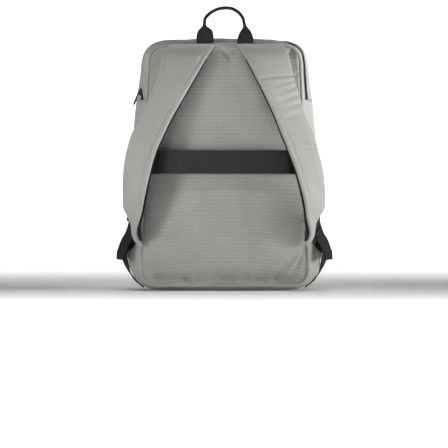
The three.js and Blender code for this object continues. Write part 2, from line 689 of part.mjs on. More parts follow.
// Ladder lock beside the side wall: origin in its top bar, pull down and back along the wall.
function lockFrame() {
  const station = sideStation(LOCK_HEIGHT);
  const v = acrossAt(station, LOCK_SETBACK);
  const face = gussetNormal(station, v);
  const lift = TURN_RADIUS + WEBBING_THICKNESS / 2 + 4 * GAP;
  const origin = gussetPoint(station, v, lift);
  const turn = THREE.MathUtils.degToRad(LOCK_TURN);
  const over = gussetFace(station, v + 0.02).sub(gussetFace(station, v - 0.02)).normalize();
  const up = face.clone().cross(over).normalize();
  up.multiplyScalar(Math.sign(up.z));
  const pull = over.clone().multiplyScalar(Math.sin(turn)).addScaledVector(up, -Math.cos(turn));
  const across = pull.clone().cross(face);
  const place = (along, out) => origin.clone().addScaledVector(pull, along).addScaledVector(face, out);
  return { origin, pull, face, across, place };
}

const LOCK_PITCH = LOCK_BAR + LOCK_SLOT;

// Three bars between two side rails.
function ladderLock() {
  const inside = WEBBING_WIDTH / 2 + 1;
  const outside = inside + LOCK_RIM;
  const start = -LOCK_BAR / 2;
  const end = 2 * LOCK_PITCH + LOCK_BAR / 2;
  const shape = new THREE.Shape();
  shape.moveTo(-outside, start);
  shape.lineTo(outside, start);
  shape.lineTo(outside, end);
  shape.lineTo(-outside, end);
  for (let slot = 0; slot < 2; slot++) {
    const low = slot * LOCK_PITCH + LOCK_BAR / 2;
    const hole = new THREE.Path();
    hole.moveTo(-inside, low);
    hole.lineTo(-inside, low + LOCK_SLOT);
    hole.lineTo(inside, low + LOCK_SLOT);
    hole.lineTo(inside, low);
    shape.holes.push(hole);
  }
  const geometry = new THREE.ExtrudeGeometry(shape, { depth: LOCK_BAR, bevelEnabled: false });
  geometry.translate(0, 0, -LOCK_BAR / 2);
  const { origin, pull, face, across } = lockFrame();
  const basis = new THREE.Matrix4().makeBasis(across, pull, face).setPosition(origin);
  return geometry.applyMatrix4(basis);
}

const TURN_RADIUS = LOCK_BAR * Math.SQRT1_2 + GAP + WEBBING_THICKNESS / 2;

// Half turn of webbing round a bar of the lock, seen from the side.
function turnRound(bar, from, to) {
  const { place } = lockFrame();
  return evenSteps(from, to, 6).map((degrees) => {
    const angle = THREE.MathUtils.degToRad(degrees);
    return place(bar * LOCK_PITCH + TURN_RADIUS * Math.cos(angle), TURN_RADIUS * Math.sin(angle));
  });
}

// Webbing from the side wall up behind the lock, round its middle bar and out as the free end.
function lowerWebbing() {
  const { place, across } = lockFrame();
  const seat = GAP + WEBBING_THICKNESS / 2;
  const load = ANCHOR_ROWS.map(({ at, across: v, lift }) => {
    return gussetPoint(at, v, seat + lift * WEBBING_WIDTH);
  });
  const loadAcross = ANCHOR_ROWS.map(({ at, across: v }) => {
    return gussetFace(at, v + 0.05).sub(gussetFace(at, v - 0.05)).normalize();
  });
  const behind = place(2.5 * LOCK_PITCH, -TURN_RADIUS);
  const turn = turnRound(1, 270, 90);
  const exit = place(1.9 * LOCK_PITCH, TURN_RADIUS + 0.6);
  const tail = TAIL_ROWS.map(({ out, back, down }) => {
    return exit.clone().add(new THREE.Vector3(out, back, -down).multiplyScalar(TAIL_LENGTH));
  });
  const points = [...load, behind, ...turn, exit, ...tail];
  const width = across.clone().multiplyScalar(Math.sign(across.y));
  const acrosses = [...loadAcross, ...points.slice(load.length).map(() => width)];
  return webbing(points, acrosses, WEBBING_WIDTH, WEBBING_THICKNESS, 51);
}

// Webbing from the edge of the strap, turned to face the lock and taken round its top bar.
function strapEndLoop(side) {
  const { place, across } = lockFrame();
  const { inner, outer } = strapFrame(side, LOOP_DROP);
  const start = outer.clone().addScaledVector(outer.clone().sub(inner).normalize(), LOOP_SEAT);
  const edge = strapFrame(side, LOOP_DROP - 0.02).outer.sub(strapFrame(side, LOOP_DROP + 0.035).outer);
  const width = across.clone().multiplyScalar(Math.sign(across.z));
  const half = (WEBBING_THICKNESS + GAP) / 2;
  const lap = place(-LOOP_LAP, half);
  const shares = evenSteps(0, 1, 7);
  const turned = shares.map((share) => start.clone().lerp(lap, share));
  const turnedAcross = shares.map((share) => edge.clone().normalize().lerp(width, share));
  const round = [place(-LOOP_NECK, TURN_RADIUS), ...turnRound(0, 90, -90)];
  round.push(place(-LOOP_NECK, -TURN_RADIUS), place(-LOOP_END, -half - GAP));
  const acrosses = [...turnedAcross, ...round.map(() => width)];
  return webbing([...turned, ...round], acrosses, LOOP_WIDTH, WEBBING_THICKNESS, 34);
}

// Band held off the panel by the depth of a trolley handle.
function trolleyBand() {
  const half = seamHalfWidth(BAND_HEIGHT);
  const flat = BACK_Y - GAP - BAND_THICKNESS / 2;
  const full = BACK_Y - BACK_CROWN - SLEEVE_GAP - BAND_THICKNESS / 2;
  const right = BAND_ROWS.map(({ x, out }) => {
    const rest = backPanelY(x * half, BAND_HEIGHT) - GAP - BAND_THICKNESS / 2;
    const y = Math.min(THREE.MathUtils.lerp(flat, full, out), rest);
    return new THREE.Vector3(x * half, y, BAND_HEIGHT);
  });
  const left = right.slice(1).reverse().map((p) => new THREE.Vector3(-p.x, p.y, p.z));
  const points = [...left, ...right];
  const up = new THREE.Vector3(0, 0, 1);
  return webbing(points, points.map(() => up), BAND_WIDTH, BAND_THICKNESS, 30);
}

// Folded webbing arch that opens into two flat tabs sewn at the top seam.
function topHandle() {
  const y = BACK_Y - PIPING_DIAMETER / 2 - GAP - HANDLE_TAB_THICKNESS / 2;
  const points = HANDLE_ROWS.map(({ x, rise }) => {
    return new THREE.Vector3(x * HANDLE_HALF_SPAN, y, SEAM_TOP + rise * HANDLE_RISE);
  });
  const path = new THREE.CatmullRomCurve3(points, false, 'centripetal');
  const rows = HANDLE_ROWS.map((row, i) => ({ at: i, tab: row.tab }));
  const last = rows.length - 1;
  const sections = evenSteps(0, last, 1.5 * last).map((at) => {
    const tab = THREE.MathUtils.clamp(between(rows, 'tab', at), 0, 1);
    const tangent = path.getTangent(at / last);
    if (at === 0) tangent.set(0, 0, 1);
    if (at === last) tangent.set(0, 0, -1);
    const wide = THREE.MathUtils.lerp(HANDLE_GRIP_THICKNESS, HANDLE_TAB_WIDTH, tab) / 2;
    const deep = THREE.MathUtils.lerp(HANDLE_GRIP_WIDTH, HANDLE_TAB_THICKNESS, Math.min(1, 3 * tab)) / 2;
    const out = new THREE.Vector3(-tangent.z, 0, tangent.x).multiplyScalar(wide);
    return ovalSection(path.getPoint(at / last), out, new THREE.Vector3(0, deep, 0), 8, 0.5);
  });
  return loft(sections);
}

const backpack = new THREE.Group();

function add(name, geometry, finish) {
  const mesh = new THREE.Mesh(geometry, new THREE.MeshStandardMaterial(finish));
  mesh.name = name;
  backpack.add(mesh);
}

function addPair(name, make, finish) {
  add(`${name}_right`, make(1), finish);
  add(`${name}_left`, mirrored(make(-1)), finish);
}

add('back_panel', backPanel(), FABRIC);
add('front_panel', frontPanel(), FABRIC);
add('lower_gusset', lowerGusset(), FABRIC);
add('zip_gusset_back', zipGussetBack(), FABRIC);
add('zip_gusset_front', zipGussetFront(), FABRIC);
add('back_piping', backPiping(), FABRIC);
add('zip_tape', zipTape(), WEBBING);
add('zip_slider', zipSlider(), METAL);
add('zip_pull', zipPull(), PLASTIC);
addPair('shoulder_strap', strapPad, FABRIC);
addPair('strap_backing', strapBacking, MESH_FABRIC);
addPair('strap_end_loop', strapEndLoop, WEBBING);
addPair('lower_webbing', lowerWebbing, WEBBING);
addPair('ladder_lock', ladderLock, PLASTIC);
add('trolley_band', trolleyBand(), WEBBING);
add('top_handle', topHandle(), WEBBING);

export default backpack;
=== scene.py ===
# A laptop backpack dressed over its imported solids. Lengths are millimetres until a mesh is made,
# in the frame's own axes: the side with the shoulder straps looks towards -Y and +Z is up.

import math

import bmesh
import bpy
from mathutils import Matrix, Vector, noise


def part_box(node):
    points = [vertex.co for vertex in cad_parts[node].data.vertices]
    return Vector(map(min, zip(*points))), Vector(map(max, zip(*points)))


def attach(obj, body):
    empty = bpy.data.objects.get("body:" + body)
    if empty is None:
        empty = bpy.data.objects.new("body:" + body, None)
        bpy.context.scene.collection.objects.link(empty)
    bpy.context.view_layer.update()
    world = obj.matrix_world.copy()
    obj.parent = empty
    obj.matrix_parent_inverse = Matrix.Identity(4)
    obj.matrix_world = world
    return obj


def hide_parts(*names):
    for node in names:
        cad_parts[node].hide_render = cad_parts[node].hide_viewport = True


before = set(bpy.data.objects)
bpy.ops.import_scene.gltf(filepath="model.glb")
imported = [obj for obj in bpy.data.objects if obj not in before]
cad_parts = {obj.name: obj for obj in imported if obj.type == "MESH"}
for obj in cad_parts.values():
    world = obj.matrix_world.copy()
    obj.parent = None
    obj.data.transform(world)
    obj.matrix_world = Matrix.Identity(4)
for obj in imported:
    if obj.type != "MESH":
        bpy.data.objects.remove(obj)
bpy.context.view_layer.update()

MM = 0.001


def node_box(node):
    low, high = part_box(node)
    return Vector(low) / MM, Vector(high) / MM


# Bag body, the same sizes as in the solids
seam_low, seam_high = node_box("back_piping")
PIPING_DIAMETER = seam_high.y - seam_low.y
BACK_Y = (seam_high.y + seam_low.y) / 2
BASE_HALF_WIDTH = 138
TOP_HALF_WIDTH = 122
PANEL_HEIGHT = 392
BASE_DROP = 9
BASE_CORNER = 30
TOP_CORNER = 28
TOP_ARCH = 4
BASE_DEPTH = 118
TOP_DEPTH = 92
SIDE_BULGE = 26
FRONT_SPREAD = 8
BACK_CROWN = 16
FRONT_CROWN = 24
BACK_WALL = 3
FRONT_WALL = 3
FABRIC_WALL = 2
FOLD_DEPTH = 4
GAP = 0.3
PAD_SEAT = 0.95
SEAM_BASE = BASE_DROP
SEAM_TOP = BASE_DROP + PANEL_HEIGHT

# Zip
ZIP_END_HEIGHT = 311
ZIP_SETBACK = 10.5
ZIP_WIDTH = 11
ZIP_SINK = 0.4
ZIP_TAPE = 1.2
COIL_RISE = 1.2
COIL_WIDTH = 4.6
COIL_PITCH = 2.2
SLIDER_LENGTH = 12
SLIDER_WIDTH = 8
SLIDER_THICKNESS = 3.6
PULL_LENGTH = 23
PULL_DIAMETER = 3

# Straps, webbing and ladder locks
STRAP_PAD = 10
STRAP_BACKING = 2
BINDING_SHOWS = 2.5
STRAP_BOW = 40
STRAP_SWAY = 4
WEBBING_WIDTH = 25
WEBBING_THICKNESS = 1.8
TAIL_LENGTH = 38
LOCK_BAR = 3.5
LOCK_SLOT = 7
LOCK_PITCH = LOCK_BAR + LOCK_SLOT
LOCK_HEIGHT = 105
LOCK_SETBACK = 13
LOCK_TURN = 26
LOOP_DROP = 0.715
LOOP_SEAT = 3.1
LOOP_WIDTH = 14.5
LOOP_NECK = 4
LOOP_LAP = 10.5
LOOP_END = 5.5
BACKING_STARTS = 0.062
TURN_RADIUS = LOCK_BAR * math.sqrt(0.5) + GAP + WEBBING_THICKNESS / 2

# Band and handle
BAND_WIDTH = 38
BAND_THICKNESS = 2
BAND_HEIGHT = 208
SLEEVE_GAP = 18
HANDLE_HALF_SPAN = 33
HANDLE_RISE = 57.5
HANDLE_TAB_WIDTH = 28
HANDLE_TAB_THICKNESS = 2.4
HANDLE_GRIP_WIDTH = 12
HANDLE_GRIP_THICKNESS = 5


# Tables
def table(columns, *rows):
    """Rows of numbers under named columns."""
    names = columns.split()
    return [dict(zip(names, row)) for row in rows]


# Swell of the side walls round the seam: stations 0 to 5 go up the right half, base, base
# corner, side, top corner and top. bulge is a share of SIDE_BULGE, spread one of FRONT_SPREAD.
GUSSET_ROWS = table(
    "at bulge spread",
    (0, 0.7, 0),
    (0.6, 0.58, 0),
    (1, 0.34, 0),
    (1.5, 0.38, 0.2),
    (2, 0.69, 0.7),
    (2.1, 0.92, 0.9),
    (2.22, 0.82, 1),
    (2.4, 0.76, 1),
    (2.6, 0.74, 0.9),
    (2.8, 0.67, 0.6),
    (3, 0.56, -0.1),
    (3.5, 0.64, -0.9),
    (4, 0.6, -1),
    (5, 0.62, -1),
)

# Folds that the solids have too: middle as shares of the panel's half width and height, half
# length and half width as shares of its height, turn in degrees, depth a share of FOLD_DEPTH.
BACK_FOLDS = table(
    "x up length width turn depth",
    (-0.06, 0.95, 0.05, 0.02, -55, 0.5),
    (0.12, 0.955, 0.05, 0.02, 50, 0.4),
    (0, 0.035, 0.32, 0.022, 0, 0.9),
    (0.78, 0.1, 0.08, 0.02, 52, 0.5),
    (-0.72, 0.42, 0.14, 0.06, 70, 0.9),
    (0.76, 0.3, 0.12, 0.05, -72, 0.6),
)
FRONT_FOLDS = table(
    "x up length width turn depth",
    (0.1, 0.78, 0.2, 0.07, 8, 0.9),
    (-0.35, 0.2, 0.16, 0.06, 25, 0.8),
    (0.6, 0.16, 0.12, 0.04, -35, 0.7),
)

# Finer creases of the back panel in the same columns: the V under the handle, the gathers along
# the bottom seam and the pulls towards the lower corners.
BACK_CREASES = table(
    "x up length width turn depth",
    (0.01, 0.963, 0.024, 0.008, -46, 1.1),
    (0.118, 0.965, 0.024, 0.008, 48, 1),
    (0.066, 0.93, 0.03, 0.009, -84, 0.35),
    (-0.12, 0.94, 0.035, 0.009, -62, 0.5),
    (0.24, 0.94, 0.035, 0.009, 64, 0.4),
    (0.64, 0.06, 0.05, 0.006, 55, 0.7),
    (0.73, 0.075, 0.06, 0.006, 52, 0.75),
    (0.83, 0.07, 0.045, 0.006, 58, 0.6),
    (0.9, 0.12, 0.05, 0.006, 70, 0.4),
    (-0.9, 0.06, 0.04, 0.006, -50, 0.4),
    (-0.78, 0.05, 0.04, 0.006, -38, 0.35),
    (0.5, 0.035, 0.03, 0.005, 60, 0.4),
    (0.36, 0.035, 0.025, 0.005, 75, 0.35),
    (0.1, 0.038, 0.022, 0.005, -70, 0.35),
    (-0.12, 0.036, 0.022, 0.005, 66, 0.3),
    (-0.42, 0.036, 0.025, 0.005, -64, 0.35),
    (0.6, 0.76, 0.05, 0.008, 12, 0.2),
    (0.785, 0.97, 0.014, 0.008, 50, 0.9),
    (0.87, 0.957, 0.022, 0.008, 58, -0.9),
    (0.925, 0.94, 0.022, 0.008, 62, 0.8),
    (0.9, 0.905, 0.022, 0.008, 50, -0.8),
    (0.87, 0.88, 0.02, 0.007, 48, 0.7),
)

# Right shoulder strap down from its top seam. drop is a share of PANEL_HEIGHT, inner and outer
# are shares of BASE_HALF_WIDTH, the lifts shares of STRAP_BOW and pad one of STRAP_PAD.
STRAP_ROWS = table(
    "at inner outer innerLift outerLift pad",
    (0.01, 0.138, 0.678, 0.01, 0.01, 0.3),
    (0.059, 0.222, 0.736, 0.09, 0.05, 0.85),
    (0.122, 0.32, 0.778, 0.22, 0.16, 0.95),
    (0.238, 0.495, 0.887, 0.42, 0.36, 1),
    (0.317, 0.609, 0.975, 0.55, 0.47, 1),
    (0.379, 0.683, 1.062, 0.68, 0.54, 1),
    (0.433, 0.75, 1.104, 0.78, 0.57, 1),
    (0.514, 0.831, 1.155, 0.92, 0.56, 1),
    (0.583, 0.886, 1.172, 0.98, 0.44, 1),
    (0.644, 0.93, 1.178, 0.98, 0.24, 1),
    (0.681, 0.95, 1.17, 0.93, 0.12, 0.95),
    (0.71, 0.966, 1.125, 0.85, 0.04, 0.85),
    (0.74, 0.99, 1.082, 0.74, 0, 0.75),
    (0.765, 1.008, 1.07, 0.6, 0, 0.65),
    (0.795, 1.008, 1.06, 0.42, 0, 0.55),
    (0.816, 0.986, 1.03, 0.28, 0.02, 0.5),
    (0.834, 0.95, 0.98, 0.12, 0.04, 0.4),
)
SWAY_ROWS = table(
    "at shift",
    (0, 0.6),
    (0.12, 0.5),
    (0.25, 0),
    (0.38, -0.7),
    (0.46, -0.8),
    (0.55, -0.4),
    (0.68, -0.2),
    (0.74, -0.5),
    (0.84, -0.45),
)

# Wrinkles across the pads: drop at the inner and at the outer edge, the stretch of the width
# that they cross (-1 inner edge, 1 outer edge), half width along the strap, depth in mm.
WRINKLES = {
    1: table(
        "inner outer start end reach depth",
        (0.152, 0.138, -0.8, 1.1, 0.0055, 3.2),
        (0.195, 0.158, -0.3, 1.1, 0.007, 2.1),
        (0.23, 0.182, -0.2, 1.1, 0.008, 2.6),
        (0.262, 0.215, -0.3, 1.1, 0.009, 2.3),
        (0.29, 0.25, -0.1, 1.1, 0.009, 2),
        (0.325, 0.29, -0.4, 0.9, 0.01, 1.4),
        (0.425, 0.425, 0.2, 1.1, 0.006, 0.9),
        (0.452, 0.448, 0.1, 1.1, 0.006, 0.8),
        (0.1, 0.09, -0.6, 0.8, 0.008, 0.4),
    ),
    -1: table(
        "inner outer start end reach depth",
        (0.145, 0.125, -0.6, 0.7, 0.01, 0.4),
        (0.1, 0.06, -0.8, 0.4, 0.012, 0.5),
        (0.235, 0.235, -0.9, 0.4, 0.012, 0.4),
        (0.43, 0.43, -0.2, 1.1, 0.01, 0.6),
        (0.47, 0.475, -0.2, 0.8, 0.012, 0.5),
        (0.33, 0.33, -0.6, 0.6, 0.014, 0.3),
    ),
}

# Carrying handle from its left tab to its right one: x a share of HANDLE_HALF_SPAN, rise one of
# HANDLE_RISE, and tab from the sewn tab (1) to the folded grip (0).
HANDLE_ROWS = table(
    "x rise tab",
    (-0.955, 0, 1),
    (-0.955, 0.16, 1),
    (-0.955, 0.27, 0.95),
    (-0.965, 0.36, 0.8),
    (-0.975, 0.43, 0.45),
    (-0.98, 0.49, 0.08),
    (-0.98, 0.61, 0),
    (-0.95, 0.7, 0),
    (-0.83, 0.79, 0),
    (-0.63, 0.885, 0),
    (-0.34, 0.965, 0),
    (0, 1, 0),
    (0.36, 0.98, 0),
    (0.64, 0.895, 0),
    (0.82, 0.79, 0),
    (0.92, 0.69, 0),
    (0.96, 0.575, 0),
    (0.99, 0.5, 0.02),
    (1.01, 0.43, 0.2),
    (1.025, 0.35, 0.5),
    (1.03, 0.25, 0.76),
    (1.03, 0.14, 0.9),
    (1.015, 0, 0.95),
)

# Band from the middle outwards: x a share of the seam's half width, out one of its stand-off.
BAND_ROWS = table(
    "x out",
    (0, 1),
    (0.5, 1),
    (0.68, 0.98),
    (0.8, 0.86),
    (0.88, 0.58),
    (0.93, 0.26),
    (0.975, 0),
)

# Lower webbing on the side wall, from its sewn end up, and the free end below the ladder lock.
ANCHOR_ROWS = table(
    "at across lift turn",
    (1.42, 0.6, 0.02, 0),
    (1.7, 0.58, 0.02, 2),
    (1.92, 0.54, 0.02, 9),
    (2.02, 0.47, 0.05, 14),
    (2.08, 0.37, 0.1, 12),
)
TAIL_ROWS = table(
    "out back down",
    (0.13, 0, 0.22),
    (0.24, 0, 0.48),
    (0.31, 0, 0.74),
    (0.33, 0, 1),
)


def lerp(start, end, share):
    return start + (end - start) * share


def clamp(value, low=0.0, high=1.0):
    return min(max(value, low), high)


def smoothstep(value, low, high):
    share = clamp((value - low) / (high - low))
    return share * share * (3 - 2 * share)


def even_steps(start, end, steps):
    return [lerp(start, end, i / steps) for i in range(steps + 1)]


def bell(value):
    return math.exp(-value * value)


def between(rows, column, at):
    """Value of a column between the rows of a table, on a smooth curve through them."""
    last = len(rows) - 1
    if at <= rows[0]["at"]:
        return rows[0][column]
    if at >= rows[last]["at"]:
        return rows[last][column]
    i = 0
    while rows[i + 1]["at"] < at:
        i += 1

    def slope(k):
        a = max(k - 1, 0)
        b = min(k + 1, last)
        return (rows[b][column] - rows[a][column]) / (rows[b]["at"] - rows[a]["at"])

    span = rows[i + 1]["at"] - rows[i]["at"]
    t = (at - rows[i]["at"]) / span
    rise = (3 - 2 * t) * t * t
    lead = (t - 2) * t * t + t
    tail = (t - 1) * t * t
    start, end = rows[i][column], rows[i + 1][column]
    return lerp(start, end, rise) + span * (lead * slope(i) + tail * slope(i + 1))


def curve_at(points, at):
    """Point and direction on a smooth curve through points. at counts along the points."""
    last = len(points) - 1
    i = min(int(at), last - 1)
    t = at - i
    b, c = points[i], points[i + 1]
    a = points[i - 1] if i > 0 else 2 * b - c
    d = points[i + 2] if i + 2 <= last else 2 * c - b
    before, here, after = ((q - p).length ** 0.5 for p, q in ((a, b), (b, c), (c, d)))
    start = here * ((b - a) / before - (c - a) / (before + here) + (c - b) / here)
    end = here * ((c - b) / here - (d - b) / (here + after) + (d - c) / after)
    t2, t3 = t * t, t * t * t
    point = (2 * t3 - 3 * t2 + 1) * b + (t3 - 2 * t2 + t) * start
    point += (3 * t2 - 2 * t3) * c + (t3 - t2) * end
    way = (6 * t2 - 6 * t) * (b - c) + (3 * t2 - 4 * t + 1) * start + (3 * t2 - 2 * t) * end
    return point, way.normalized()


def ripple(x, y, size, seed=0):
    """Soft unevenness between -1 and 1 with hollows about size apart."""
    return noise.noise(Vector((x / size, y / size, seed * 7.3)))


# Back seam and side walls

def seam_half_width(z):
    share = clamp((z - SEAM_BASE) / (PANEL_HEIGHT - TOP_ARCH))
    return lerp(BASE_HALF_WIDTH, TOP_HALF_WIDTH, share)


SEAM_SHOULDER = SEAM_TOP - TOP_ARCH
TOP_FLAT = TOP_HALF_WIDTH - TOP_CORNER
CORNER_RISE = TOP_ARCH * TOP_CORNER / (TOP_HALF_WIDTH - TOP_FLAT / 2)
SIDE_FOOT = SEAM_BASE + BASE_CORNER
SIDE_HEAD = SEAM_SHOULDER - TOP_CORNER
TOP_STATION = 5
RING_STATION = 2 * TOP_STATION

# Right half of the seam, each stretch by its first point, its control point and its last point
SEAM_STRETCHES = [
    ((0, SEAM_BASE), None, (BASE_HALF_WIDTH - BASE_CORNER, SEAM_BASE)),
    (
        (BASE_HALF_WIDTH - BASE_CORNER, SEAM_BASE),
        (BASE_HALF_WIDTH, SEAM_BASE),
        (seam_half_width(SIDE_FOOT), SIDE_FOOT),
    ),
    ((seam_half_width(SIDE_FOOT), SIDE_FOOT), None, (seam_half_width(SIDE_HEAD), SIDE_HEAD)),
    (
        (seam_half_width(SIDE_HEAD), SIDE_HEAD),
        (TOP_HALF_WIDTH, SEAM_SHOULDER),
        (TOP_FLAT, SEAM_SHOULDER + CORNER_RISE),
    ),
    ((TOP_FLAT, SEAM_SHOULDER + CORNER_RISE), (TOP_FLAT / 2, SEAM_TOP), (0, SEAM_TOP)),
]


def seam_at(station):
    """Point and outward direction on the back seam, all the way round, and the right station."""
    around = station % RING_STATION
    side = -1 if around > TOP_STATION else 1
    half = RING_STATION - around if side < 0 else around
    i = min(int(half), TOP_STATION - 1)
    t = half - i
    start, bend, end = SEAM_STRETCHES[i]
    start, end = Vector(start), Vector(end)
    bend = (start + end) / 2 if bend is None else Vector(bend)
    point = (1 - t) ** 2 * start + 2 * t * (1 - t) * bend + t * t * end
    way = ((1 - t) * (bend - start) + t * (end - bend)).normalized()
    return Vector((side * point.x, point.y)), Vector((side * way.y, -way.x)), half


def side_station(z):
    return 2 + (z - SIDE_FOOT) / (SIDE_HEAD - SIDE_FOOT)


def depth_at(z):
    return lerp(BASE_DEPTH, TOP_DEPTH, smoothstep(z, SIDE_FOOT, SEAM_TOP))


def across_at(station, distance):
    return distance / depth_at(seam_at(station)[0].y)


def gusset_face(station, across):
    """Outer face of the gusset, from the back seam (0) to the front seam (1)."""
    point, way, half = seam_at(station)
    bulge = between(GUSSET_ROWS, "bulge", half) * SIDE_BULGE
    spread = between(GUSSET_ROWS, "spread", half) * FRONT_SPREAD
    out = bulge * math.sin(math.pi * across) + spread * across
    x, z = point + way * out
    return Vector((x, BACK_Y + across * depth_at(point.y), max(z, 0)))


def gusset_normal(station, across):
    step = 0.01
    along = gusset_face(station + step, across) - gusset_face(station - step, across)
    over = gusset_face(station, across + step) - gusset_face(station, across - step)
    return over.cross(along).normalized()


def gusset_point(station, across, lift=0.0):
    return gusset_face(station, across) + gusset_normal(station, across) * lift


def fold_depth(folds, x, z):
    """Depth of all the folds of a table at a point of a panel, in mm."""
    total = 0
    for fold in folds:
        turn = math.radians(fold["turn"])
        dx = x - fold["x"] * BASE_HALF_WIDTH
        dz = z - SEAM_BASE - fold["up"] * PANEL_HEIGHT
        along = (dx * math.cos(turn) + dz * math.sin(turn)) / (fold["length"] * PANEL_HEIGHT)
        over = (dz * math.cos(turn) - dx * math.sin(turn)) / (fold["width"] * PANEL_HEIGHT)
        total += fold["depth"] * FOLD_DEPTH * bell(along) * bell(over)
    return total


def panel_swell(x, z, top):
    """Belly of a sewn panel: 1 in its flat middle, 0 at its seam."""
    across = min(abs(x) / seam_half_width(z), 1)
    height = clamp((z - SEAM_BASE) / (top - SEAM_BASE))
    return (1 - across**3) * (1 - abs(2 * height - 1) ** 6)


def back_panel_y(x, z):
    swell = panel_swell(x, z, SEAM_TOP)
    return BACK_Y - swell * (BACK_CROWN - fold_depth(BACK_FOLDS, x, z))


def front_panel_y(x, z):
    swell = panel_swell(x, z, SEAM_TOP - FRONT_SPREAD)
    return BACK_Y + depth_at(z) + swell * (FRONT_CROWN - fold_depth(FRONT_FOLDS, x, z))


# Materials

def linear(colour):
    """Scene colour of an sRGB hex value."""
    parts = [int(colour[i : i + 2], 16) / 255 for i in (1, 3, 5)]
    return (*(p / 12.92 if p <= 0.04045 else ((p + 0.055) / 1.055) ** 2.4 for p in parts), 1)


def add_node(tree, kind, sockets=None, **settings):
    """A shader node with its settings, and its sockets set to values or linked to outputs."""
    made = tree.nodes.new(kind)
    for name, value in settings.items():
        setattr(made, name, value)
    for socket, value in (sockets or {}).items():
        if isinstance(value, bpy.types.NodeSocket):
            tree.links.new(value, made.inputs[socket])
        else:
            made.inputs[socket].default_value = value
    return made


def bands(spacing):
    """Scale of a wave texture whose bands lie spacing mm apart on a map in metres."""
    return math.pi / 10 / (spacing * MM)


def grains(size):
    """Scale of a noise texture whose grains are size mm apart on a map in metres."""
    return 1 / (size * MM)


def new_material(name):
    material = bpy.data.materials.new(name)
    material.use_nodes = True
    material.node_tree.nodes.clear()
    return material, material.node_tree


def finish_material(tree, colour, bump, roughness, **sockets):
    """Puts colour and relief on one shader. sockets are further values on its own sockets."""
    values = {"Base Color": colour, "Normal": bump, "Roughness": roughness}
    values.update({name.replace("_", " "): value for name, value in sockets.items()})
    shader = add_node(tree, "ShaderNodeBsdfPrincipled", values)
    add_node(tree, "ShaderNodeOutputMaterial", {"Surface": shader.outputs[0]})


def stretched(tree, across, along):
    """The piece's own map in metres, pulled out so that grains come long along the yarn."""
    place = add_node(tree, "ShaderNodeUVMap", uv_map="cloth")
    return add_node(
        tree,
        "ShaderNodeMapping",
        {"Vector": place.outputs[0], "Scale": (across, along, 1)},
    ).outputs[0]


def wave(tree, vector, spacing, direction, distortion, **sockets):
    """Bands spacing mm apart on a map in metres."""
    values = {"Vector": vector, "Scale": bands(spacing), "Distortion": distortion, "Detail": 1.0}
    values.update({name.replace("_", " "): value for name, value in sockets.items()})
    return add_node(tree, "ShaderNodeTexWave", values, bands_direction=direction).outputs["Fac"]


def speckle(tree, vector, size, detail, roughness=0.5):
    """Noise with grains size mm apart on a map in metres."""
    values = {"Vector": vector, "Scale": grains(size), "Detail": detail, "Roughness": roughness}
    return add_node(tree, "ShaderNodeTexNoise", values).outputs["Fac"]


def two_tone(tree, factor, dark, light, low=0.0, high=1.0):
    """Ramp from a dark to a light colour between two values of a factor."""
    made = add_node(tree, "ShaderNodeValToRGB", {"Fac": factor})
    first, last = made.color_ramp.elements
    first.position = low
    first.color = linear(dark)
    last.position = high
    last.color = linear(light)
    return made.outputs[0]


def blend(tree, factor, dark, light):
    values = {"Factor": factor, "A": linear(dark), "B": linear(light)}
    return add_node(tree, "ShaderNodeMix", values, data_type="RGBA").outputs[2]


def spread_to(tree, value, low, high, start=0.0, end=1.0):
    """A value between start and end, spread over low to high."""
    values = {"Value": value, "From Min": start, "From Max": end, "To Min": low, "To Max": high}
    return add_node(tree, "ShaderNodeMapRange", values).outputs[0]


def maths(tree, operation, *values):
    return add_node(tree, "ShaderNodeMath", dict(enumerate(values)), operation=operation).outputs[0]


def relief_of(tree, height, strength, depth):
    """Bump from a height, depth being in mm."""
    values = {"Height": height, "Strength": strength, "Distance": depth * MM}
    return add_node(tree, "ShaderNodeBump", values).outputs[0]


def object_place(tree):
    return add_node(tree, "ShaderNodeTexCoord").outputs["Object"]


def cloth_material(name, rib, rib_shade, light, dark, weave=1.4, relief=0.35):
    """Solution dyed polyester, woven from a light and a dark grey yarn with a flat rib across.

    The two yarns give soft streaks, and the rib fine level lines: relief, with painted shade
    along its grooves. The matt filament gives a faint sheen at the edges. The real weave has
    about 0.5 mm between threads, which is too fine for the picture, so it is drawn at weave mm."""
    material, tree = new_material(name)
    flat = stretched(tree, 1, 1)
    yarn = speckle(tree, stretched(tree, 0.45, 1), weave, 3.0, 0.65)
    clouds = speckle(tree, flat, 45, 2.0)
    lines = wave(tree, flat, rib, "Y", 0.15, Detail_Scale=0.6)
    warp = wave(tree, flat, weave, "X", 0.6)
    weft = wave(tree, flat, weave, "Y", 0.6)
    # The rib lines darken the colour: painted shade along the rib grooves. The cloud patches are random
    # tone.
    shade = spread_to(tree, lines, 1 - rib_shade, 1.0)
    patch = spread_to(tree, clouds, 0.95, 1.04, 0.3, 0.7)
    rib_shade_and_patches = maths(tree, "MULTIPLY", shade, patch)
    colour = add_node(
        tree,
        "ShaderNodeVectorMath",
        {0: two_tone(tree, yarn, dark, light, 0.3, 0.7), "Scale": rib_shade_and_patches},
        operation="SCALE",
    )
    crossing = maths(tree, "MULTIPLY", warp, weft)
    rows = maths(tree, "MULTIPLY_ADD", lines, 0.7, crossing)
    finish_material(
        tree,
        colour.outputs[0],
        relief_of(tree, rows, relief, 0.4),
        0.88,
        Sheen_Weight=0.25,
        Sheen_Roughness=0.5,
        Specular_IOR_Level=0.25,
    )
    return material


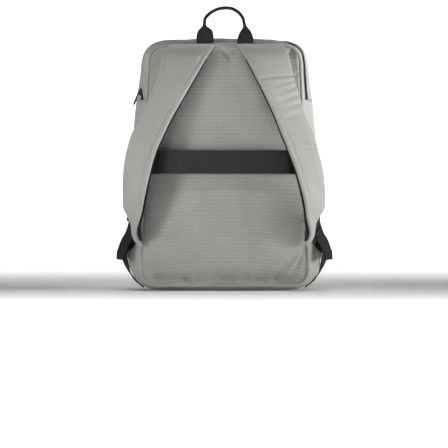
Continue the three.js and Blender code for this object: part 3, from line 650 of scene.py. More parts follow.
def webbing_material(name, spacing, light, dark, relief=0.8, direction="DIAGONAL"):
    """Black polypropylene webbing or elastic, woven so tightly that only its ribs show.

    The rib crests are painted lighter, a painted highlight, and the cords between them stay nearly
    black. Ribs lie spacing mm apart, a little coarser than the real ones, so that they show."""
    material, tree = new_material(name)
    flat = stretched(tree, 1, 1)
    ribs = wave(tree, flat, spacing, direction, 0.3)
    fuzz = speckle(tree, flat, 2.5, 3.0, 0.7)
    height = maths(tree, "MULTIPLY_ADD", fuzz, 0.5, ribs)
    bump = relief_of(tree, height, relief, 0.5)
    # The ramp over the ribs paints a highlight on their crests and painted shade between them.
    finish_material(tree, two_tone(tree, ribs, dark, light), bump, 0.75, Specular_IOR_Level=0.2)
    return material


def mesh_material():
    """Black spacer mesh, knitted with open cells, so it drinks the light. The cells are painted darker
    than the knit round them: painted shade in their depth.
    """
    material, tree = new_material("spacer_mesh")
    cells = add_node(
        tree,
        "ShaderNodeTexVoronoi",
        {"Vector": stretched(tree, 1, 1), "Scale": grains(2.6), "Randomness": 0.25},
    ).outputs["Distance"]
    # The middle of each cell is painted darkest: painted shade in the open cells.
    tone = two_tone(tree, cells, "#0d0c0d", "#333034", 0.15, 0.5)
    finish_material(tree, tone, relief_of(tree, cells, 0.9, 0.6), 0.9, Specular_IOR_Level=0.2)
    return material


def plastic_material():
    """Black acetal, injection moulded with a fine spark finish: satin with a soft highlight."""
    material, tree = new_material("moulded_acetal")
    grain = speckle(tree, object_place(tree), 0.8, 2.0)
    tone = blend(tree, grain, "#161517", "#222023")
    gloss = spread_to(tree, grain, 0.36, 0.5)
    finish_material(tree, tone, relief_of(tree, grain, 0.15, 0.1), gloss, IOR=1.48)
    return material


def metal_material():
    """Die cast zinc slider in a dark baked finish, rubbed a little brighter where it is held."""
    material, tree = new_material("dark_zinc")
    rubbed = speckle(tree, object_place(tree), 3, 3.0)
    tone = blend(tree, rubbed, "#2a2a2c", "#4c4b4d")
    finish_material(tree, tone, relief_of(tree, rubbed, 0.1, 0.1), 0.38, Metallic=0.85)
    return material


def paper_material():
    """Matt white seamless paper under and behind the bag."""
    material, tree = new_material("seamless_paper")
    pulp = speckle(tree, object_place(tree), 4, 2.0)
    finish_material(tree, linear("#f4f4f3"), relief_of(tree, pulp, 0.05, 0.1), 0.9)
    return material


CLOTH_LIGHT = "#aaaaa6"
CLOTH_DARK = "#999995"
panel_cloth = cloth_material("ribbed_polyester", 5.9, 0.1, CLOTH_LIGHT, CLOTH_DARK)
wall_cloth = cloth_material("ribbed_polyester_walls", 5.9, 0.05, CLOTH_LIGHT, CLOTH_DARK)
strap_cloth = cloth_material("plain_polyester", 2.8, 0.03, CLOTH_LIGHT, CLOTH_DARK)
# The lighter colour of each webbing, elastic and tape is a painted highlight on its rib crests.
webbing_cloth = webbing_material("polypropylene_webbing", 2.2, "#373337", "#080708", 1.2)
elastic_cloth = webbing_material("ribbed_elastic", 3.4, "#363234", "#262325", 0.5, "Y")
tape_cloth = webbing_material("knitted_zip_tape", 1.6, "#141314", "#090909", 0.5)
coil_nylon = plastic_material()
spacer_mesh = mesh_material()
dark_zinc = metal_material()


# Meshes

def dress(name, points, faces, maps, material, nodes):
    """A piece from points in mm, with a map in mm for its cloth, standing for solid nodes."""
    mesh = bpy.data.meshes.new(name)
    mesh.from_pydata([p * MM for p in points], [], faces)
    mesh.materials.append(material)
    layer = mesh.uv_layers.new(name="cloth")
    for loop in mesh.loops:
        u, v = maps[loop.vertex_index]
        layer.data[loop.index].uv = (u * MM, v * MM)
    work = bmesh.new()
    work.from_mesh(mesh)
    bmesh.ops.recalc_face_normals(work, faces=work.faces)
    for face in work.faces:
        face.smooth = True
    work.to_mesh(mesh)
    work.free()
    piece = bpy.data.objects.new(name, mesh)
    bpy.context.collection.objects.link(piece)
    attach(piece, "root")
    if nodes:
        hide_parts(*nodes)
    return piece


def lengths(points):
    """How far along each point lies."""
    run = [0.0]
    for a, b in zip(points, points[1:]):
        run.append(run[-1] + (b - a).length)
    return run


def grid_map(grid):
    """Map of a grid: distance across its rows, and along its middle column."""
    middle = len(grid[0]) // 2
    along = lengths([row[middle] for row in grid])
    maps = []
    for row, v in zip(grid, along):
        run = lengths(row)
        maps.append([(u - run[middle], v) for u in run])
    return maps


def wall(name, outer, inner, material, nodes, maps=None):
    """One wall of cloth between an outer and an inner grid of points."""
    rows = len(outer)
    columns = len(outer[0])
    points = [p for grid in (outer, inner) for row in grid for p in row]
    maps = maps or grid_map(outer)
    flat_maps = [m for row in maps for m in row] * 2
    faces = []

    def at(i, j, layer):
        return (layer * rows + i) * columns + j

    for i in range(rows - 1):
        for j in range(columns - 1):
            for layer in (0, 1):
                near = [at(i, j, layer), at(i + 1, j, layer)]
                faces.append([*near, at(i + 1, j + 1, layer), at(i, j + 1, layer)])
        for j in (0, columns - 1):
            faces.append([at(i, j, 0), at(i + 1, j, 0), at(i + 1, j, 1), at(i, j, 1)])
    for i in (0, rows - 1):
        for j in range(columns - 1):
            faces.append([at(i, j, 0), at(i, j + 1, 0), at(i, j + 1, 1), at(i, j, 1)])
    return dress(name, points, faces, flat_maps, material, nodes)


def tube_parts(sections, ring=False):
    """Points, faces and map of a skin over closed sections, capped or joined into a ring."""
    count = len(sections[0])
    rows = len(sections)
    points = [p for section in sections for p in section]
    centres = [sum(section, Vector()) / count for section in sections]
    along = lengths(centres)
    maps = []
    for section, v in zip(sections, along):
        maps.extend((u, v) for u in lengths(section))
    faces = []
    for i in range(rows if ring else rows - 1):
        for j in range(count):
            k = (j + 1) % count
            a, b = i * count, ((i + 1) % rows) * count
            faces.append([a + j, b + j, b + k, a + k])
    if not ring:
        for start, centre, v in ((0, centres[0], along[0]), (count * (rows - 1), centres[-1], along[-1])):
            hub = len(points)
            points.append(centre)
            maps.append((0, v))
            faces.extend([start + j, start + (j + 1) % count, hub] for j in range(count))
    return points, faces, maps


def tube(name, sections, material, nodes, ring=False):
    points, faces, maps = tube_parts(sections, ring)
    return dress(name, points, faces, maps, material, nodes)


def bundle(name, tubes, material, nodes=()):
    """Many small tubes as one piece."""
    points, faces, maps = [], [], []
    for sections in tubes:
        more, skins, spread = tube_parts(sections)
        first = len(points)
        points.extend(more)
        maps.extend(spread)
        faces.extend([first + k for k in skin] for skin in skins)
    return dress(name, points, faces, maps, material, nodes)


def oval(centre, half_across, half_up, corners, power):
    """Flat oval section with soft edges, spanned by two half axes."""
    section = []
    for i in range(corners):
        angle = 2 * math.pi * (i + 0.5) / corners
        c, s = math.cos(angle), math.sin(angle)
        across = math.copysign(abs(c) ** power, c)
        up = math.copysign(abs(s) ** power, s)
        section.append(centre + half_across * across + half_up * up)
    return section


# Bag

def ring_stations(steps):
    """Stations round the ring, steps being how many each stretch of the right half gets."""
    right = [s for i, n in enumerate(steps) for s in even_steps(i, i + 1, n)[:-1]]
    left = [RING_STATION - s for s in [*right[1:], TOP_STATION] if s < TOP_STATION]
    return [*right, TOP_STATION, *reversed(left)]


FINE_RING = [34, 16, 96, 16, 30]
ZIP_FAR = ZIP_SETBACK + ZIP_WIDTH
ZIP_STATION = side_station(ZIP_END_HEIGHT)
GAP_STATION = (side_station(ZIP_END_HEIGHT + GAP) - ZIP_STATION) / 2
GUSSET_EDGE = PIPING_DIAMETER / 2 + GAP


def zip_stations():
    start = ZIP_STATION + GAP_STATION
    end = RING_STATION - start
    inner = [s for s in ring_stations(FINE_RING) if start + 0.005 < s < end - 0.005]
    return [start, *inner, end]


def low_stations():
    end = ZIP_STATION - GAP_STATION
    turned = [s - RING_STATION if s > TOP_STATION else s for s in ring_stations(FINE_RING)]
    inner = sorted(s for s in turned if abs(s) < end - 0.005)
    return [-end, *inner, end]


def pucker(station, distance):
    """Ease of the cloth beside a seam, in mm: small gathers that die away from it."""
    gather = ripple(station * 70, 0, 9, 1) + 0.5 * ripple(station * 70, 0, 4, 2)
    return 1.1 * gather * bell(distance / 11)


# The strip next to the back seam hoods the zip where no zip shows in the view with the straps,
# and both strips lap over its tape, where the cloth is thin. The first three are stations.
FLAP_STARTS = TOP_STATION - 1.3
FLAP_FULL = TOP_STATION - 0.8
FLAP_FADE = 0.06
FLAP_LIFT = 4.5
ZIP_LAP = 1.9
LEAST_LAP = 0.15
ZIP_LAP_WALL = 0.25


def flap_share(station):
    """How far the strip hoods the zip: over the top and the left side, not down the right one."""
    around = station % RING_STATION
    end = RING_STATION - ZIP_STATION - around
    return smoothstep(around, FLAP_STARTS, FLAP_FULL) * clamp(end / FLAP_FADE)


def zip_lap(station):
    """How far the near strip laps over the tape, in mm."""
    return ZIP_LAP * lerp(LEAST_LAP, 1, flap_share(station))


def gusset_relief(station, across):
    """Slack of a side wall in mm, nothing at its seams and at the floor."""
    point = seam_at(station)[0]
    depth = depth_at(point.y)
    near = across * depth
    far = (1 - across) * depth
    reach = clamp(min(near, far) / 6)
    foot = smoothstep(point.y, SEAM_BASE, SEAM_BASE + 25)
    slack = 1.3 * ripple(station * 80, near * 0.6, 42, 3) + 0.6 * ripple(station * 80, near, 18, 4)
    hood = 0
    if ZIP_STATION < station < RING_STATION - ZIP_STATION and near < ZIP_SETBACK + ZIP_LAP + GAP:
        hood = FLAP_LIFT * flap_share(station) * smoothstep(near, GUSSET_EDGE, ZIP_SETBACK)
    return reach * foot * (slack + pucker(station, near) + pucker(station, far)) + hood


def gusset_wall(name, stations, start, end, columns):
    """Wall of cloth over part of the ring, from start to end across it, with its own slack."""
    outer, inner = [], []
    zip_range = set(zip_stations())
    for s in stations:
        skin, lining = [], []
        for across in even_steps(start(s), end(s), columns):
            normal = gusset_normal(s, across)
            point = gusset_face(s, across)
            distance = across * depth_at(seam_at(s)[0].y)
            over_tape = ZIP_SETBACK - GAP < distance < ZIP_FAR + GAP and s in zip_range
            skin.append(point + normal * gusset_relief(s, across))
            lining.append(point - normal * (ZIP_LAP_WALL if over_tape else FABRIC_WALL))
        outer.append(skin)
        inner.append(lining)
    piece = wall(name, outer, inner, wall_cloth, [name])
    middle = outer[len(outer) // 2]
    length = lengths([row[columns // 2] for row in outer])[-1]
    lengths(middle)[-1] * MM
    return piece


def panel_edge(station, inset):
    point, way, _ = seam_at(station)
    return point - way * inset


def panel_grid(edge, depth, columns, steps):
    """Grid of a panel: rows follow the seam up, columns go across."""
    stations = [s for i, n in zip((1, 2, 3), steps) for s in even_steps(i, i + 1, n)[:-1]]
    top = edge(TOP_STATION).y
    corner = edge(TOP_STATION - 1).y
    grid = []
    for station in [*stations, TOP_STATION - 1]:
        end = edge(station)
        arch = (top - corner) * smoothstep(end.y, (SEAM_BASE + SEAM_TOP) / 2, corner)
        row = []
        for share in even_steps(-1, 1, columns):
            x = share * end.x
            z = end.y + arch * (1 - share * share)
            row.append(Vector((x, depth(x, z), z)))
        grid.append(row)
    return grid


def panel_inset(x, z):
    """Rough distance from a point of a panel to its seam."""
    side = seam_half_width(z) - abs(x)
    return max(min(side, z - SEAM_BASE, SEAM_TOP - z), 0)


RIB_DROOP = 13


def panel_map(grid):
    """Level ribs that hang lower towards the sides of the slack lower half."""
    maps = []
    for row in grid:
        line = []
        for p in row:
            share = abs(p.x) / BASE_HALF_WIDTH
            low = 1 - smoothstep(p.z, SEAM_BASE + 60, SEAM_BASE + 210)
            line.append((p.x, p.z + RIB_DROOP * low * share**2.5))
        maps.append(line)
    return maps


def panel_relief(x, z, seed):
    """Small hollows and seam gathers of a panel, in mm."""
    inset = panel_inset(x, z)
    angle = math.atan2(z - (SEAM_BASE + SEAM_TOP) / 2, x)
    gather = 0.9 * ripple(angle * 190, 0, 10, seed) * bell((inset - 5) / 12)
    hollows = 1.2 * ripple(x, z, 70, seed + 1) + 0.45 * ripple(x, z, 26, seed + 2)
    return clamp(inset / 8) * (gather + hollows)


# The slack panel puffs up beside its seam, above PUFF_STARTS, and sags over the bottom one.
EDGE_PUFF = 1.8
PUFF_REACH = 6
PUFF_STARTS = 200
PUFF_FULL = 290
GATHER_HEIGHT = 9
GATHER_REACH = 8
GATHER_DEPTH = 8
GATHER_FADE = (105, 128)


def bottom_gather(x, z):
    """Groove where the slack panel hangs over its bottom seam, puckered along its length."""
    rise = (z - SEAM_BASE - GATHER_HEIGHT) / GATHER_REACH
    pucker = 1 + 0.45 * ripple(x, 0, 13, 21) + 0.3 * ripple(x, 0, 6, 22)
    return GATHER_DEPTH * bell(rise) * pucker * (1 - smoothstep(abs(x), *GATHER_FADE))


def back_panel():
    def depth(x, z):
        inset = panel_inset(x, z)
        creases = fold_depth(BACK_CREASES, x, z) * clamp(inset / 6)
        creases += bottom_gather(x, z) * clamp(inset / 5)
        puff = EDGE_PUFF * smoothstep(z, PUFF_STARTS, PUFF_FULL)
        creases -= puff * bell((inset - GUSSET_EDGE) / PUFF_REACH)
        return back_panel_y(x, z) + creases + panel_relief(x, z, 5)

    edge = lambda station: panel_edge(station, GUSSET_EDGE)
    outer = panel_grid(edge, depth, 104, (12, 110, 14))
    inner = [[p + Vector((0, BACK_WALL, 0)) for p in row] for row in outer]
    nodes = ["back_panel"]
    piece = wall("padded_back_panel", outer, inner, panel_cloth, nodes, panel_map(outer))
    return piece


def front_panel():
    inset = FABRIC_WALL + 3 * GAP

    def edge(station):
        point, way, half = seam_at(station)
        return point + way * (between(GUSSET_ROWS, "spread", half) * FRONT_SPREAD - inset)

    def depth(x, z):
        return front_panel_y(x, z) - panel_relief(x, z, 9)

    outer = panel_grid(edge, depth, 90, (12, 96, 12))
    inner = [[p - Vector((0, FRONT_WALL, 0)) for p in row] for row in outer]
    nodes = ["front_panel"]
    piece = wall("cloth_front_panel", outer, inner, panel_cloth, nodes, panel_map(outer))
    width = lengths(outer[len(outer) // 2])[-1]
    length = lengths([row[len(row) // 2] for row in outer])[-1]
    return piece


def back_piping():
    sections = []
    for s in ring_stations(FINE_RING):
        point, way, _ = seam_at(s)
        radius = PIPING_DIAMETER / 2 * (1 + 0.07 * ripple(s * 70, 0, 7, 6))
        out = Vector((way.x, 0, way.y)) * radius
        centre = Vector((point.x, BACK_Y, point.y))
        sections.append(oval(centre, out, Vector((0, radius, 0)), 14, 1))
    return tube("cloth_piping", sections, strap_cloth, ["back_piping"], ring=True)


def zip_rows(distances, lift):
    return [[gusset_point(s, across_at(s, d), lift) for d in distances] for s in zip_stations()]


def zip_tape():
    distances = even_steps(ZIP_SETBACK, ZIP_FAR, 12)
    outer = zip_rows(distances, -ZIP_SINK)
    inner = zip_rows(distances, -ZIP_SINK - ZIP_TAPE)
    return wall("knitted_tape", outer, inner, tape_cloth, ["zip_tape"])


def zip_coil():
    """Closed coil: two rows of nylon loops that mesh in the middle of the tape."""
    middle = (ZIP_SETBACK + ZIP_FAR) / 2
    line = [gusset_point(s, across_at(s, middle), -ZIP_SINK) for s in zip_stations()]
    stations = zip_stations()
    run = lengths(line)
    tubes = []
    for k in range(int(run[-1] / COIL_PITCH)):
        where = (k + 0.5) * COIL_PITCH
        i = next(i for i in range(len(run) - 1) if run[i + 1] >= where)
        s = lerp(stations[i], stations[i + 1], (where - run[i]) / (run[i + 1] - run[i]))
        side = 1 if k % 2 else -1
        way = (line[i + 1] - line[i]).normalized()
        sections = []
        for step in range(7):
            share = step / 6
            reach = side * (0.5 - 0.72 * share) * COIL_WIDTH
            v = across_at(s, middle + reach)
            lift = COIL_RISE * (0.25 + 0.6 * math.sin(math.pi * clamp(share + 0.05)))
            normal = gusset_normal(s, v)
            centre = gusset_point(s, v, lift - ZIP_SINK)
            sections.append(oval(centre, way * 0.62, normal * 0.5, 6, 1))
        tubes.append(sections)
    return bundle("nylon_coil", tubes, coil_nylon)


def slider_frame():
    station = RING_STATION - side_station(ZIP_END_HEIGHT + SLIDER_LENGTH)
    across = across_at(station, (ZIP_SETBACK + ZIP_FAR) / 2)
    normal = gusset_normal(station, across)
    centre = gusset_point(station, across, COIL_RISE - ZIP_SINK + GAP + SLIDER_THICKNESS / 2)
    down = gusset_face(station + 0.05, across) - gusset_face(station - 0.05, across)
    down = (down - normal * down.dot(normal)).normalized()
    return centre, down, normal, normal.cross(down)


SLIDER_ROWS = table(
    "at width",
    (-0.5, 0.5),
    (-0.42, 0.74),
    (-0.2, 1),
    (0.25, 1),
    (0.42, 0.84),
    (0.5, 0.6),
)


def zip_slider():
    """Body of the slider with the bridge that the pull hangs in."""
    centre, down, normal, over = slider_frame()
    body = []
    for at in even_steps(-0.5, 0.5, 16):
        half = over * between(SLIDER_ROWS, "width", at) * SLIDER_WIDTH / 2
        round_off = 0.75 + 0.25 * math.sin(math.pi * (at + 0.5))
        rise = normal * SLIDER_THICKNESS / 2 * round_off
        body.append(oval(centre + down * at * SLIDER_LENGTH, half, rise, 20, 0.5))
    bridge = []
    for angle in even_steps(0, math.pi, 12):
        along = -math.cos(angle) * 0.32 * SLIDER_LENGTH
        rise = SLIDER_THICKNESS / 2 - 0.2 + 1.9 * math.sin(angle)
        way = down * math.sin(angle) + normal * math.cos(angle)
        spot = centre + down * along + normal * rise
        bridge.append(oval(spot, over * 1.3, way.cross(over) * 0.5, 10, 0.7))
    return bundle("cast_slider", [body, bridge], dark_zinc, ["zip_slider"])


PULL_HANGS = (-0.35, -0.1, -0.93)
GRIP_RINGS = 9
GRIP_STARTS = 0.45
GRIP_RIDGE = 0.1


def zip_pull():
    """Moulded pull with a waist below its eye and grip rings near its end."""
    centre, _, normal, _ = slider_frame()
    start = centre + normal * (SLIDER_THICKNESS / 2 + PULL_DIAMETER / 2 + GAP)
    way = Vector(PULL_HANGS).normalized()
    sections = []
    for t in even_steps(0, 1, 60):
        ends = min(1, math.sqrt(clamp(t / 0.05)), math.sqrt(clamp((1 - t) / 0.05)))
        grip = GRIP_RIDGE * math.cos(2 * math.pi * GRIP_RINGS * t) if t > GRIP_STARTS else 0
        half = PULL_DIAMETER / 2 * (lerp(0.82, 1.1, smoothstep(t, 0.3, 0.6)) + grip) * max(ends, 0.2)
        side = Vector((0, half, 0))
        up = way.cross(side).normalized() * half
        sections.append(oval(start + way * PULL_LENGTH * t, side, up, 16, 0.9))
    return tube("moulded_pull", sections, coil_nylon, ["zip_pull"])


# Shoulder straps

def strap_frame(side, drop):
    """Inner and outer edge, thickness and middle, drawn as the right strap. side 1 is right."""
    z = SEAM_TOP - drop * PANEL_HEIGHT
    pad = between(STRAP_ROWS, "pad", drop) * STRAP_PAD
    backed = smoothstep(drop, STRAP_ROWS[0]["at"], BACKING_STARTS)
    rest = GAP + pad / 2 + backed * (STRAP_BACKING + PAD_SEAT)
    sway = side * STRAP_SWAY * between(SWAY_ROWS, "shift", drop)
    edges = []
    for edge in ("inner", "outer"):
        x = between(STRAP_ROWS, edge, drop) * BASE_HALF_WIDTH
        lift = between(STRAP_ROWS, edge + "Lift", drop) * STRAP_BOW
        edges.append(Vector((x + sway, back_panel_y(x, z) - rest - lift, z)))
    inner, outer = edges
    return inner, outer, pad, (inner + outer) / 2


def strap_normal(side, drop):
    step = 0.01
    inner, outer, _, _ = strap_frame(side, drop)
    along = strap_frame(side, drop + step)[3] - strap_frame(side, drop - step)[3]
    return along.cross(outer - inner).normalized()


def mirror(side, sections):
    """Sections as drawn for the right strap, or their mirror image for the left one."""
    if side > 0:
        return sections
    return [[Vector((-p.x, p.y, p.z)) for p in section] for section in sections]


def pad_dip(side, drop, across):
    """How far wrinkles and the sewn channels press the face of a pad in, in mm."""
    total = 0
    for row in WRINKLES[side]:
        line = lerp(row["inner"], row["outer"], (across + 1) / 2)
        window = smoothstep(across, row["start"] - 0.3, row["start"] + 0.2)
        window *= 1 - smoothstep(across, row["end"] - 0.2, row["end"] + 0.3)
        total += row["depth"] * window * bell((drop - line) / row["reach"])
    return total


# Sewn channels along the edges of the pads, deeper on the left strap. PAD_CORNER squares the
# section of a pad: 1 leaves it an ellipse.
CHANNEL_INSET = 7
CHANNEL_DEPTH = {1: 0.8, -1: 2.6}
CHANNEL_WIDTH = 1.9
CHANNEL_STARTS = (0.03, 0.08)
CHANNEL_ENDS = (0.66, 0.72)
PAD_CORNER = 0.6


def pad_section(side, drop, corners=56):
    inner, outer, pad, middle = strap_frame(side, drop)
    half = (outer - inner) / 2
    up = strap_normal(side, drop)
    reach = half.length
    fade = smoothstep(drop, *CHANNEL_STARTS) * (1 - smoothstep(drop, *CHANNEL_ENDS))
    section = []
    for i in range(corners):
        angle = 2 * math.pi * (i + 0.5) / corners
        c, s = math.cos(angle), math.sin(angle)
        across = math.copysign(abs(c) ** PAD_CORNER, c)
        rise = math.copysign(abs(s) ** PAD_CORNER, s) * pad / 2
        if s > 0:
            from_inner = (1 + across) * reach
            from_outer = (1 - across) * reach
            channel = bell((from_inner - CHANNEL_INSET) / CHANNEL_WIDTH)
            channel += 0.5 * bell((from_outer - CHANNEL_INSET) / CHANNEL_WIDTH)
            face = min(1, s * 2.5)
            dent = pad_dip(side, drop, across) + CHANNEL_DEPTH[side] * channel * fade
            dent += 0.55 * ripple(across * reach, drop * PANEL_HEIGHT, 34, 11 + side)
            rise -= face * dent * clamp(pad / STRAP_PAD)
        section.append(middle + half * across + up * rise)
    return section


STRAP_STARTS = 0.002


def shoulder_strap(side, name):
    drops = even_steps(STRAP_STARTS, STRAP_ROWS[-1]["at"], 210)
    sections = []
    for drop in drops:
        ahead = Vector((0, -PIPING_DIAMETER / 2 * (1 - smoothstep(drop, 0.006, 0.03)), 0))
        sections.append([p + ahead for p in pad_section(side, drop)])
    sections = mirror(side, sections)
    piece = tube(f"padded_{name}", sections, strap_cloth, [name])
    return piece


# Near its lower end a strap turns, so that more of its backing shows there, by this many mm
TURNED_BACKING = 10
TURN_DROP = 0.788
TURN_REACH = 0.024
BACKING_ENDS = 0.822


def strap_backing(side, name):
    sections = []
    for drop in even_steps(BACKING_STARTS, BACKING_ENDS, 150):
        inner, outer, pad, middle = strap_frame(side, drop)
        normal = strap_normal(side, drop)
        half = (outer - inner) / 2
        shows = BINDING_SHOWS + TURNED_BACKING * bell((drop - TURN_DROP) / TURN_REACH)
        centre = middle - half.normalized() * shows / 2
        centre -= normal * (pad / 2 + PAD_SEAT + STRAP_BACKING / 2)
        narrow = max(half.length + shows / 2 - BINDING_SHOWS, BINDING_SHOWS)
        sections.append(oval(centre, half.normalized() * narrow, normal * STRAP_BACKING / 2, 20, 0.4))
    return tube(f"mesh_{name}", mirror(side, sections), spacer_mesh, [name])


# Webbing

def web_sections(points, acrosses, width, thickness, steps, corners=16):
    """Sections of flat webbing through points. thickness is a size, or a function of its run."""
    sections = []
    last = len(points) - 1
    for at in even_steps(0, last, steps):
        point, way = curve_at(points, at)
        i = min(int(at), last - 1)
        across = acrosses[i].lerp(acrosses[i + 1], at - i)
        across = (across - way * across.dot(way)).normalized()
        thick = thickness(at / last) if callable(thickness) else thickness
        up = way.cross(across) * thick / 2
        sections.append(oval(point, across * width / 2, up, corners, 0.28))
    return sections


def lock_frame():
    """Origin in the top bar of the ladder lock, its pull, face and width, and points on it."""
    station = side_station(LOCK_HEIGHT)
    v = across_at(station, LOCK_SETBACK)
    face = gusset_normal(station, v)
    origin = gusset_point(station, v, TURN_RADIUS + WEBBING_THICKNESS / 2 + 4 * GAP)
    turn = math.radians(LOCK_TURN)
    over = (gusset_face(station, v + 0.02) - gusset_face(station, v - 0.02)).normalized()
    up = face.cross(over).normalized()
    up *= math.copysign(1, up.z)
    pull = over * math.sin(turn) - up * math.cos(turn)

    def place(along, out):
        return origin + pull * along + face * out

    return place, pull.cross(face)


def turn_round(bar, start, end):
    place, _ = lock_frame()
    points = []
    for degrees in even_steps(start, end, 6):
        angle = math.radians(degrees)
        along = bar * LOCK_PITCH + TURN_RADIUS * math.cos(angle)
        points.append(place(along, TURN_RADIUS * math.sin(angle)))
    return points


ROLLED_END = 1.6


def lower_webbing(side, name):
    place, across = lock_frame()
    seat = GAP + WEBBING_THICKNESS / 2
    load = []
    load_across = []
    for row in ANCHOR_ROWS:
        turn = math.radians(row["turn"])
        rise = seat + (row["lift"] + math.sin(turn) / 2) * WEBBING_WIDTH
        load.append(gusset_point(row["at"], row["across"], rise))
        over = gusset_face(row["at"], row["across"] + 0.05) - gusset_face(row["at"], row["across"] - 0.05)
        out = gusset_normal(row["at"], row["across"])
        load_across.append(over.normalized() * math.cos(turn) + out * math.sin(turn))
    behind = place(2.5 * LOCK_PITCH, -TURN_RADIUS)
    leave = place(1.9 * LOCK_PITCH, TURN_RADIUS + 0.6)
    tail = [leave + Vector((row["out"], row["back"], -row["down"])) * TAIL_LENGTH for row in TAIL_ROWS]
    points = [*load, behind, *turn_round(1, 270, 90), leave, *tail]
    width = across * math.copysign(1, across.y)
    acrosses = [*load_across, *([width] * (len(points) - len(load)))]

    def thickness(share):
        """The free end is rolled over and sewn, so it is thicker just before its edge."""
        rolled = smoothstep(share, 0.9, 0.925) * (1 - smoothstep(share, 0.985, 1))
        return WEBBING_THICKNESS * (1 + ROLLED_END * rolled)

    sections = web_sections(points, acrosses, WEBBING_WIDTH, thickness, 200)
    return tube(f"woven_{name}", mirror(side, sections), webbing_cloth, [name])


def strap_end_loop(side, name):
    """Webbing from the edge of the strap, turned to face the lock and taken round its top bar."""
    place, across = lock_frame()
    inner, outer, _, _ = strap_frame(side, LOOP_DROP)
    start = outer + (outer - inner).normalized() * LOOP_SEAT
    edge = (strap_frame(side, LOOP_DROP - 0.02)[1] - strap_frame(side, LOOP_DROP + 0.035)[1]).normalized()
    width = across * math.copysign(1, across.z)
    half = (WEBBING_THICKNESS + GAP) / 2
    shares = even_steps(0, 1, 7)
    points = [start.lerp(place(-LOOP_LAP, half), share) for share in shares]
    acrosses = [edge.lerp(width, share) for share in shares]
    bar = [place(-LOOP_NECK, TURN_RADIUS), *turn_round(0, 90, -90), place(-LOOP_NECK, -TURN_RADIUS)]
    bar.append(place(-LOOP_END, -half - GAP))
    points += bar
    acrosses += [width] * len(bar)
    sections = web_sections(points, acrosses, LOOP_WIDTH, WEBBING_THICKNESS, 120)
    return tube(f"woven_{name}", mirror(side, sections), webbing_cloth, [name])


def ladder_lock(name):
    """The moulded lock keeps its solid, with its edges rounded and a satin finish."""
    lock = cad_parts[name]
    lock.data.materials.clear()
    lock.data.materials.append(coil_nylon)
    soft = lock.modifiers.new("rounded edges", "BEVEL")
    soft.width = 0.7 * MM
    soft.segments = 3
    soft.limit_method = "ANGLE"


def band_line():
    """Middle of the band from its left end to its right one."""
    half = seam_half_width(BAND_HEIGHT)
    flat = BACK_Y - GAP - BAND_THICKNESS / 2
    full = BACK_Y - BACK_CROWN - SLEEVE_GAP - BAND_THICKNESS / 2
    right = []
    for row in BAND_ROWS:
        x = row["x"] * half
        rest = back_panel_y(x, BAND_HEIGHT) - GAP - BAND_THICKNESS / 2
        right.append(Vector((x, min(lerp(flat, full, row["out"]), rest), BAND_HEIGHT)))
    left = [Vector((-p.x, p.y, p.z)) for p in reversed(right[1:])]
    return [*left, *right]


def trolley_band():
    line = band_line()
    up = [Vector((0, 0, 1))] * len(line)
    sections = web_sections(line, up, BAND_WIDTH, BAND_THICKNESS, 220, 40)
    return tube("elastic_band", sections, elastic_cloth, ["trolley_band"])


def top_handle():
    """Folded webbing arch that opens into two flat tabs sewn at the top seam."""
    y = BACK_Y - PIPING_DIAMETER / 2 - GAP - HANDLE_TAB_THICKNESS / 2
    points = []
    for row in HANDLE_ROWS:
        points.append(Vector((row["x"] * HANDLE_HALF_SPAN, y, SEAM_TOP + row["rise"] * HANDLE_RISE)))
    rows = [{"at": i, "tab": row["tab"]} for i, row in enumerate(HANDLE_ROWS)]
    last = len(rows) - 1
    sections = []
    for at in even_steps(0, last, 150):
        tab = clamp(between(rows, "tab", at))
        point, way = curve_at(points, at)
        if at == 0:
            way = Vector((0, 0, 1))
        if at == last:
            way = Vector((0, 0, -1))
        wide = lerp(HANDLE_GRIP_THICKNESS, HANDLE_TAB_WIDTH, tab) / 2
        deep = lerp(HANDLE_GRIP_WIDTH, HANDLE_TAB_THICKNESS, min(1, 3 * tab)) / 2
        sections.append(oval(point, Vector((-way.z, 0, way.x)) * wide, Vector((0, deep, 0)), 28, 0.5))
    return tube("folded_handle", sections, webbing_cloth, ["top_handle"])


# Studio

def area_light(name, place, aim, width, height, power, colour, spread=180):
    lamp = bpy.data.lights.new(name, "AREA")
    lamp.spread = math.radians(spread)
    lamp.shape = "RECTANGLE"
    lamp.size = width
    lamp.size_y = height
    lamp.energy = power
    lamp.color = linear(colour)[:3]
    holder = bpy.data.objects.new(name, lamp)
    holder.location = place
    holder.rotation_euler = (Vector(aim) - Vector(place)).to_track_quat("-Z", "Y").to_euler()
    bpy.context.collection.objects.link(holder)


SWEEP_HALF_WIDTH = 6
SWEEP_FRONT = -5
SWEEP_BACK = 4.6
SWEEP_RADIUS = 0.8
SWEEP_TOP = 4


def seamless_sweep():
    """Floor that turns up into a backdrop in one curve, in metres."""
    line = [(SWEEP_FRONT, 0), (SWEEP_BACK - SWEEP_RADIUS, 0)]
    for angle in even_steps(0, math.pi / 2, 16)[1:]:
        back = SWEEP_BACK - SWEEP_RADIUS * (1 - math.sin(angle))
        line.append((back, SWEEP_RADIUS * (1 - math.cos(angle))))
    line.append((SWEEP_BACK, SWEEP_TOP))
    points = [(side * SWEEP_HALF_WIDTH, y, z) for y, z in line for side in (-1, 1)]
    faces = [(2 * i, 2 * i + 1, 2 * i + 3, 2 * i + 2) for i in range(len(line) - 1)]
    mesh = bpy.data.meshes.new("sweep")
    mesh.from_pydata(points, [], faces)
    for polygon in mesh.polygons:
        polygon.use_smooth = True
    mesh.materials.append(paper_material())
    sweep = bpy.data.objects.new("sweep", mesh)
    bpy.context.collection.objects.link(sweep)


CAMERA_PLACE = (-0.0008, -3.09, 0.1086)
CAMERA_LENS = 150.2
SENSOR = 36
ROOM_GLOW = 0.03


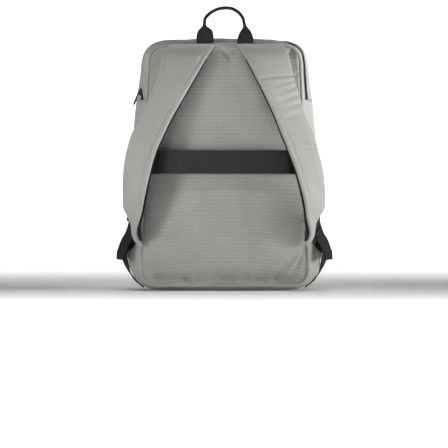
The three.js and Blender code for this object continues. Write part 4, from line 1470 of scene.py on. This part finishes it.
def camera():
    data = bpy.data.cameras.new("camera")
    data.lens = CAMERA_LENS
    data.sensor_width = SENSOR
    holder = bpy.data.objects.new("camera", data)
    holder.location = CAMERA_PLACE
    holder.rotation_euler = (math.pi / 2, 0, 0)
    bpy.context.collection.objects.link(holder)
    bpy.context.scene.camera = holder


def studio():
    camera()
    seamless_sweep()
    area_light("left_softbox", (-1.2, -0.9, 0.22), (0, 0, 0.22), 0.35, 0.35, 0.66, "#ffffff", 44)
    area_light("right_softbox", (1.35, -0.35, 0.22), (0.1, 0, 0.22), 0.5, 0.5, 0.8, "#fffdf9", 50)
    area_light("side_softbox", (1.5, -0.25, 0.32), (0.12, 0, 0.3), 0.35, 0.35, 0.8, "#ffffff", 30)
    area_light("front_softbox", (0.15, -1.9, 0.1), (0.1, 0, 0.1), 0.5, 0.3, 0.05, "#ffffff", 30)
    area_light("seam_light", (0, -1.1, 1.5), (0, 0, 0.03), 0.3, 0.2, 0.12, "#ffffff", 24)
    area_light("front_floor_light", (0, -1.35, 1.8), (0, -1.35, 0), 2.4, 2, 24, "#ffffff", 36)
    area_light("back_floor_light", (0, 2.1, 2.6), (0, 2.1, 0), 5, 2.6, 50, "#ffffff", 60)
    area_light("backdrop_light", (0, 3, 3.4), (0, SWEEP_BACK, 1), 6, 0.8, 105, "#ffffff", 90)
    world = bpy.data.worlds.new("room")
    world.use_nodes = True
    world.node_tree.nodes["Background"].inputs["Color"].default_value = linear("#ffffff")
    world.node_tree.nodes["Background"].inputs["Strength"].default_value = ROOM_GLOW
    bpy.context.scene.world = world
    bpy.context.scene.view_settings.view_transform = "Standard"


studio()
back_panel()
front_panel()
gusset_wall("lower_gusset", low_stations(), lambda s: across_at(s, GUSSET_EDGE), lambda s: 1, 40)
gusset_wall(
    "zip_gusset_back",
    zip_stations(),
    lambda s: across_at(s, GUSSET_EDGE),
    lambda s: across_at(s, ZIP_SETBACK + zip_lap(s)),
    10,
)
gusset_wall(
    "zip_gusset_front",
    zip_stations(),
    lambda s: across_at(s, ZIP_FAR - ZIP_LAP),
    lambda s: 1,
    34,
)
back_piping()
zip_tape()
zip_coil()
zip_slider()
zip_pull()
for side, hand in ((1, "right"), (-1, "left")):
    shoulder_strap(side, f"shoulder_strap_{hand}")
    strap_backing(side, f"strap_backing_{hand}")
    strap_end_loop(side, f"strap_end_loop_{hand}")
    lower_webbing(side, f"lower_webbing_{hand}")
    ladder_lock(f"ladder_lock_{hand}")
trolley_band()
top_handle()
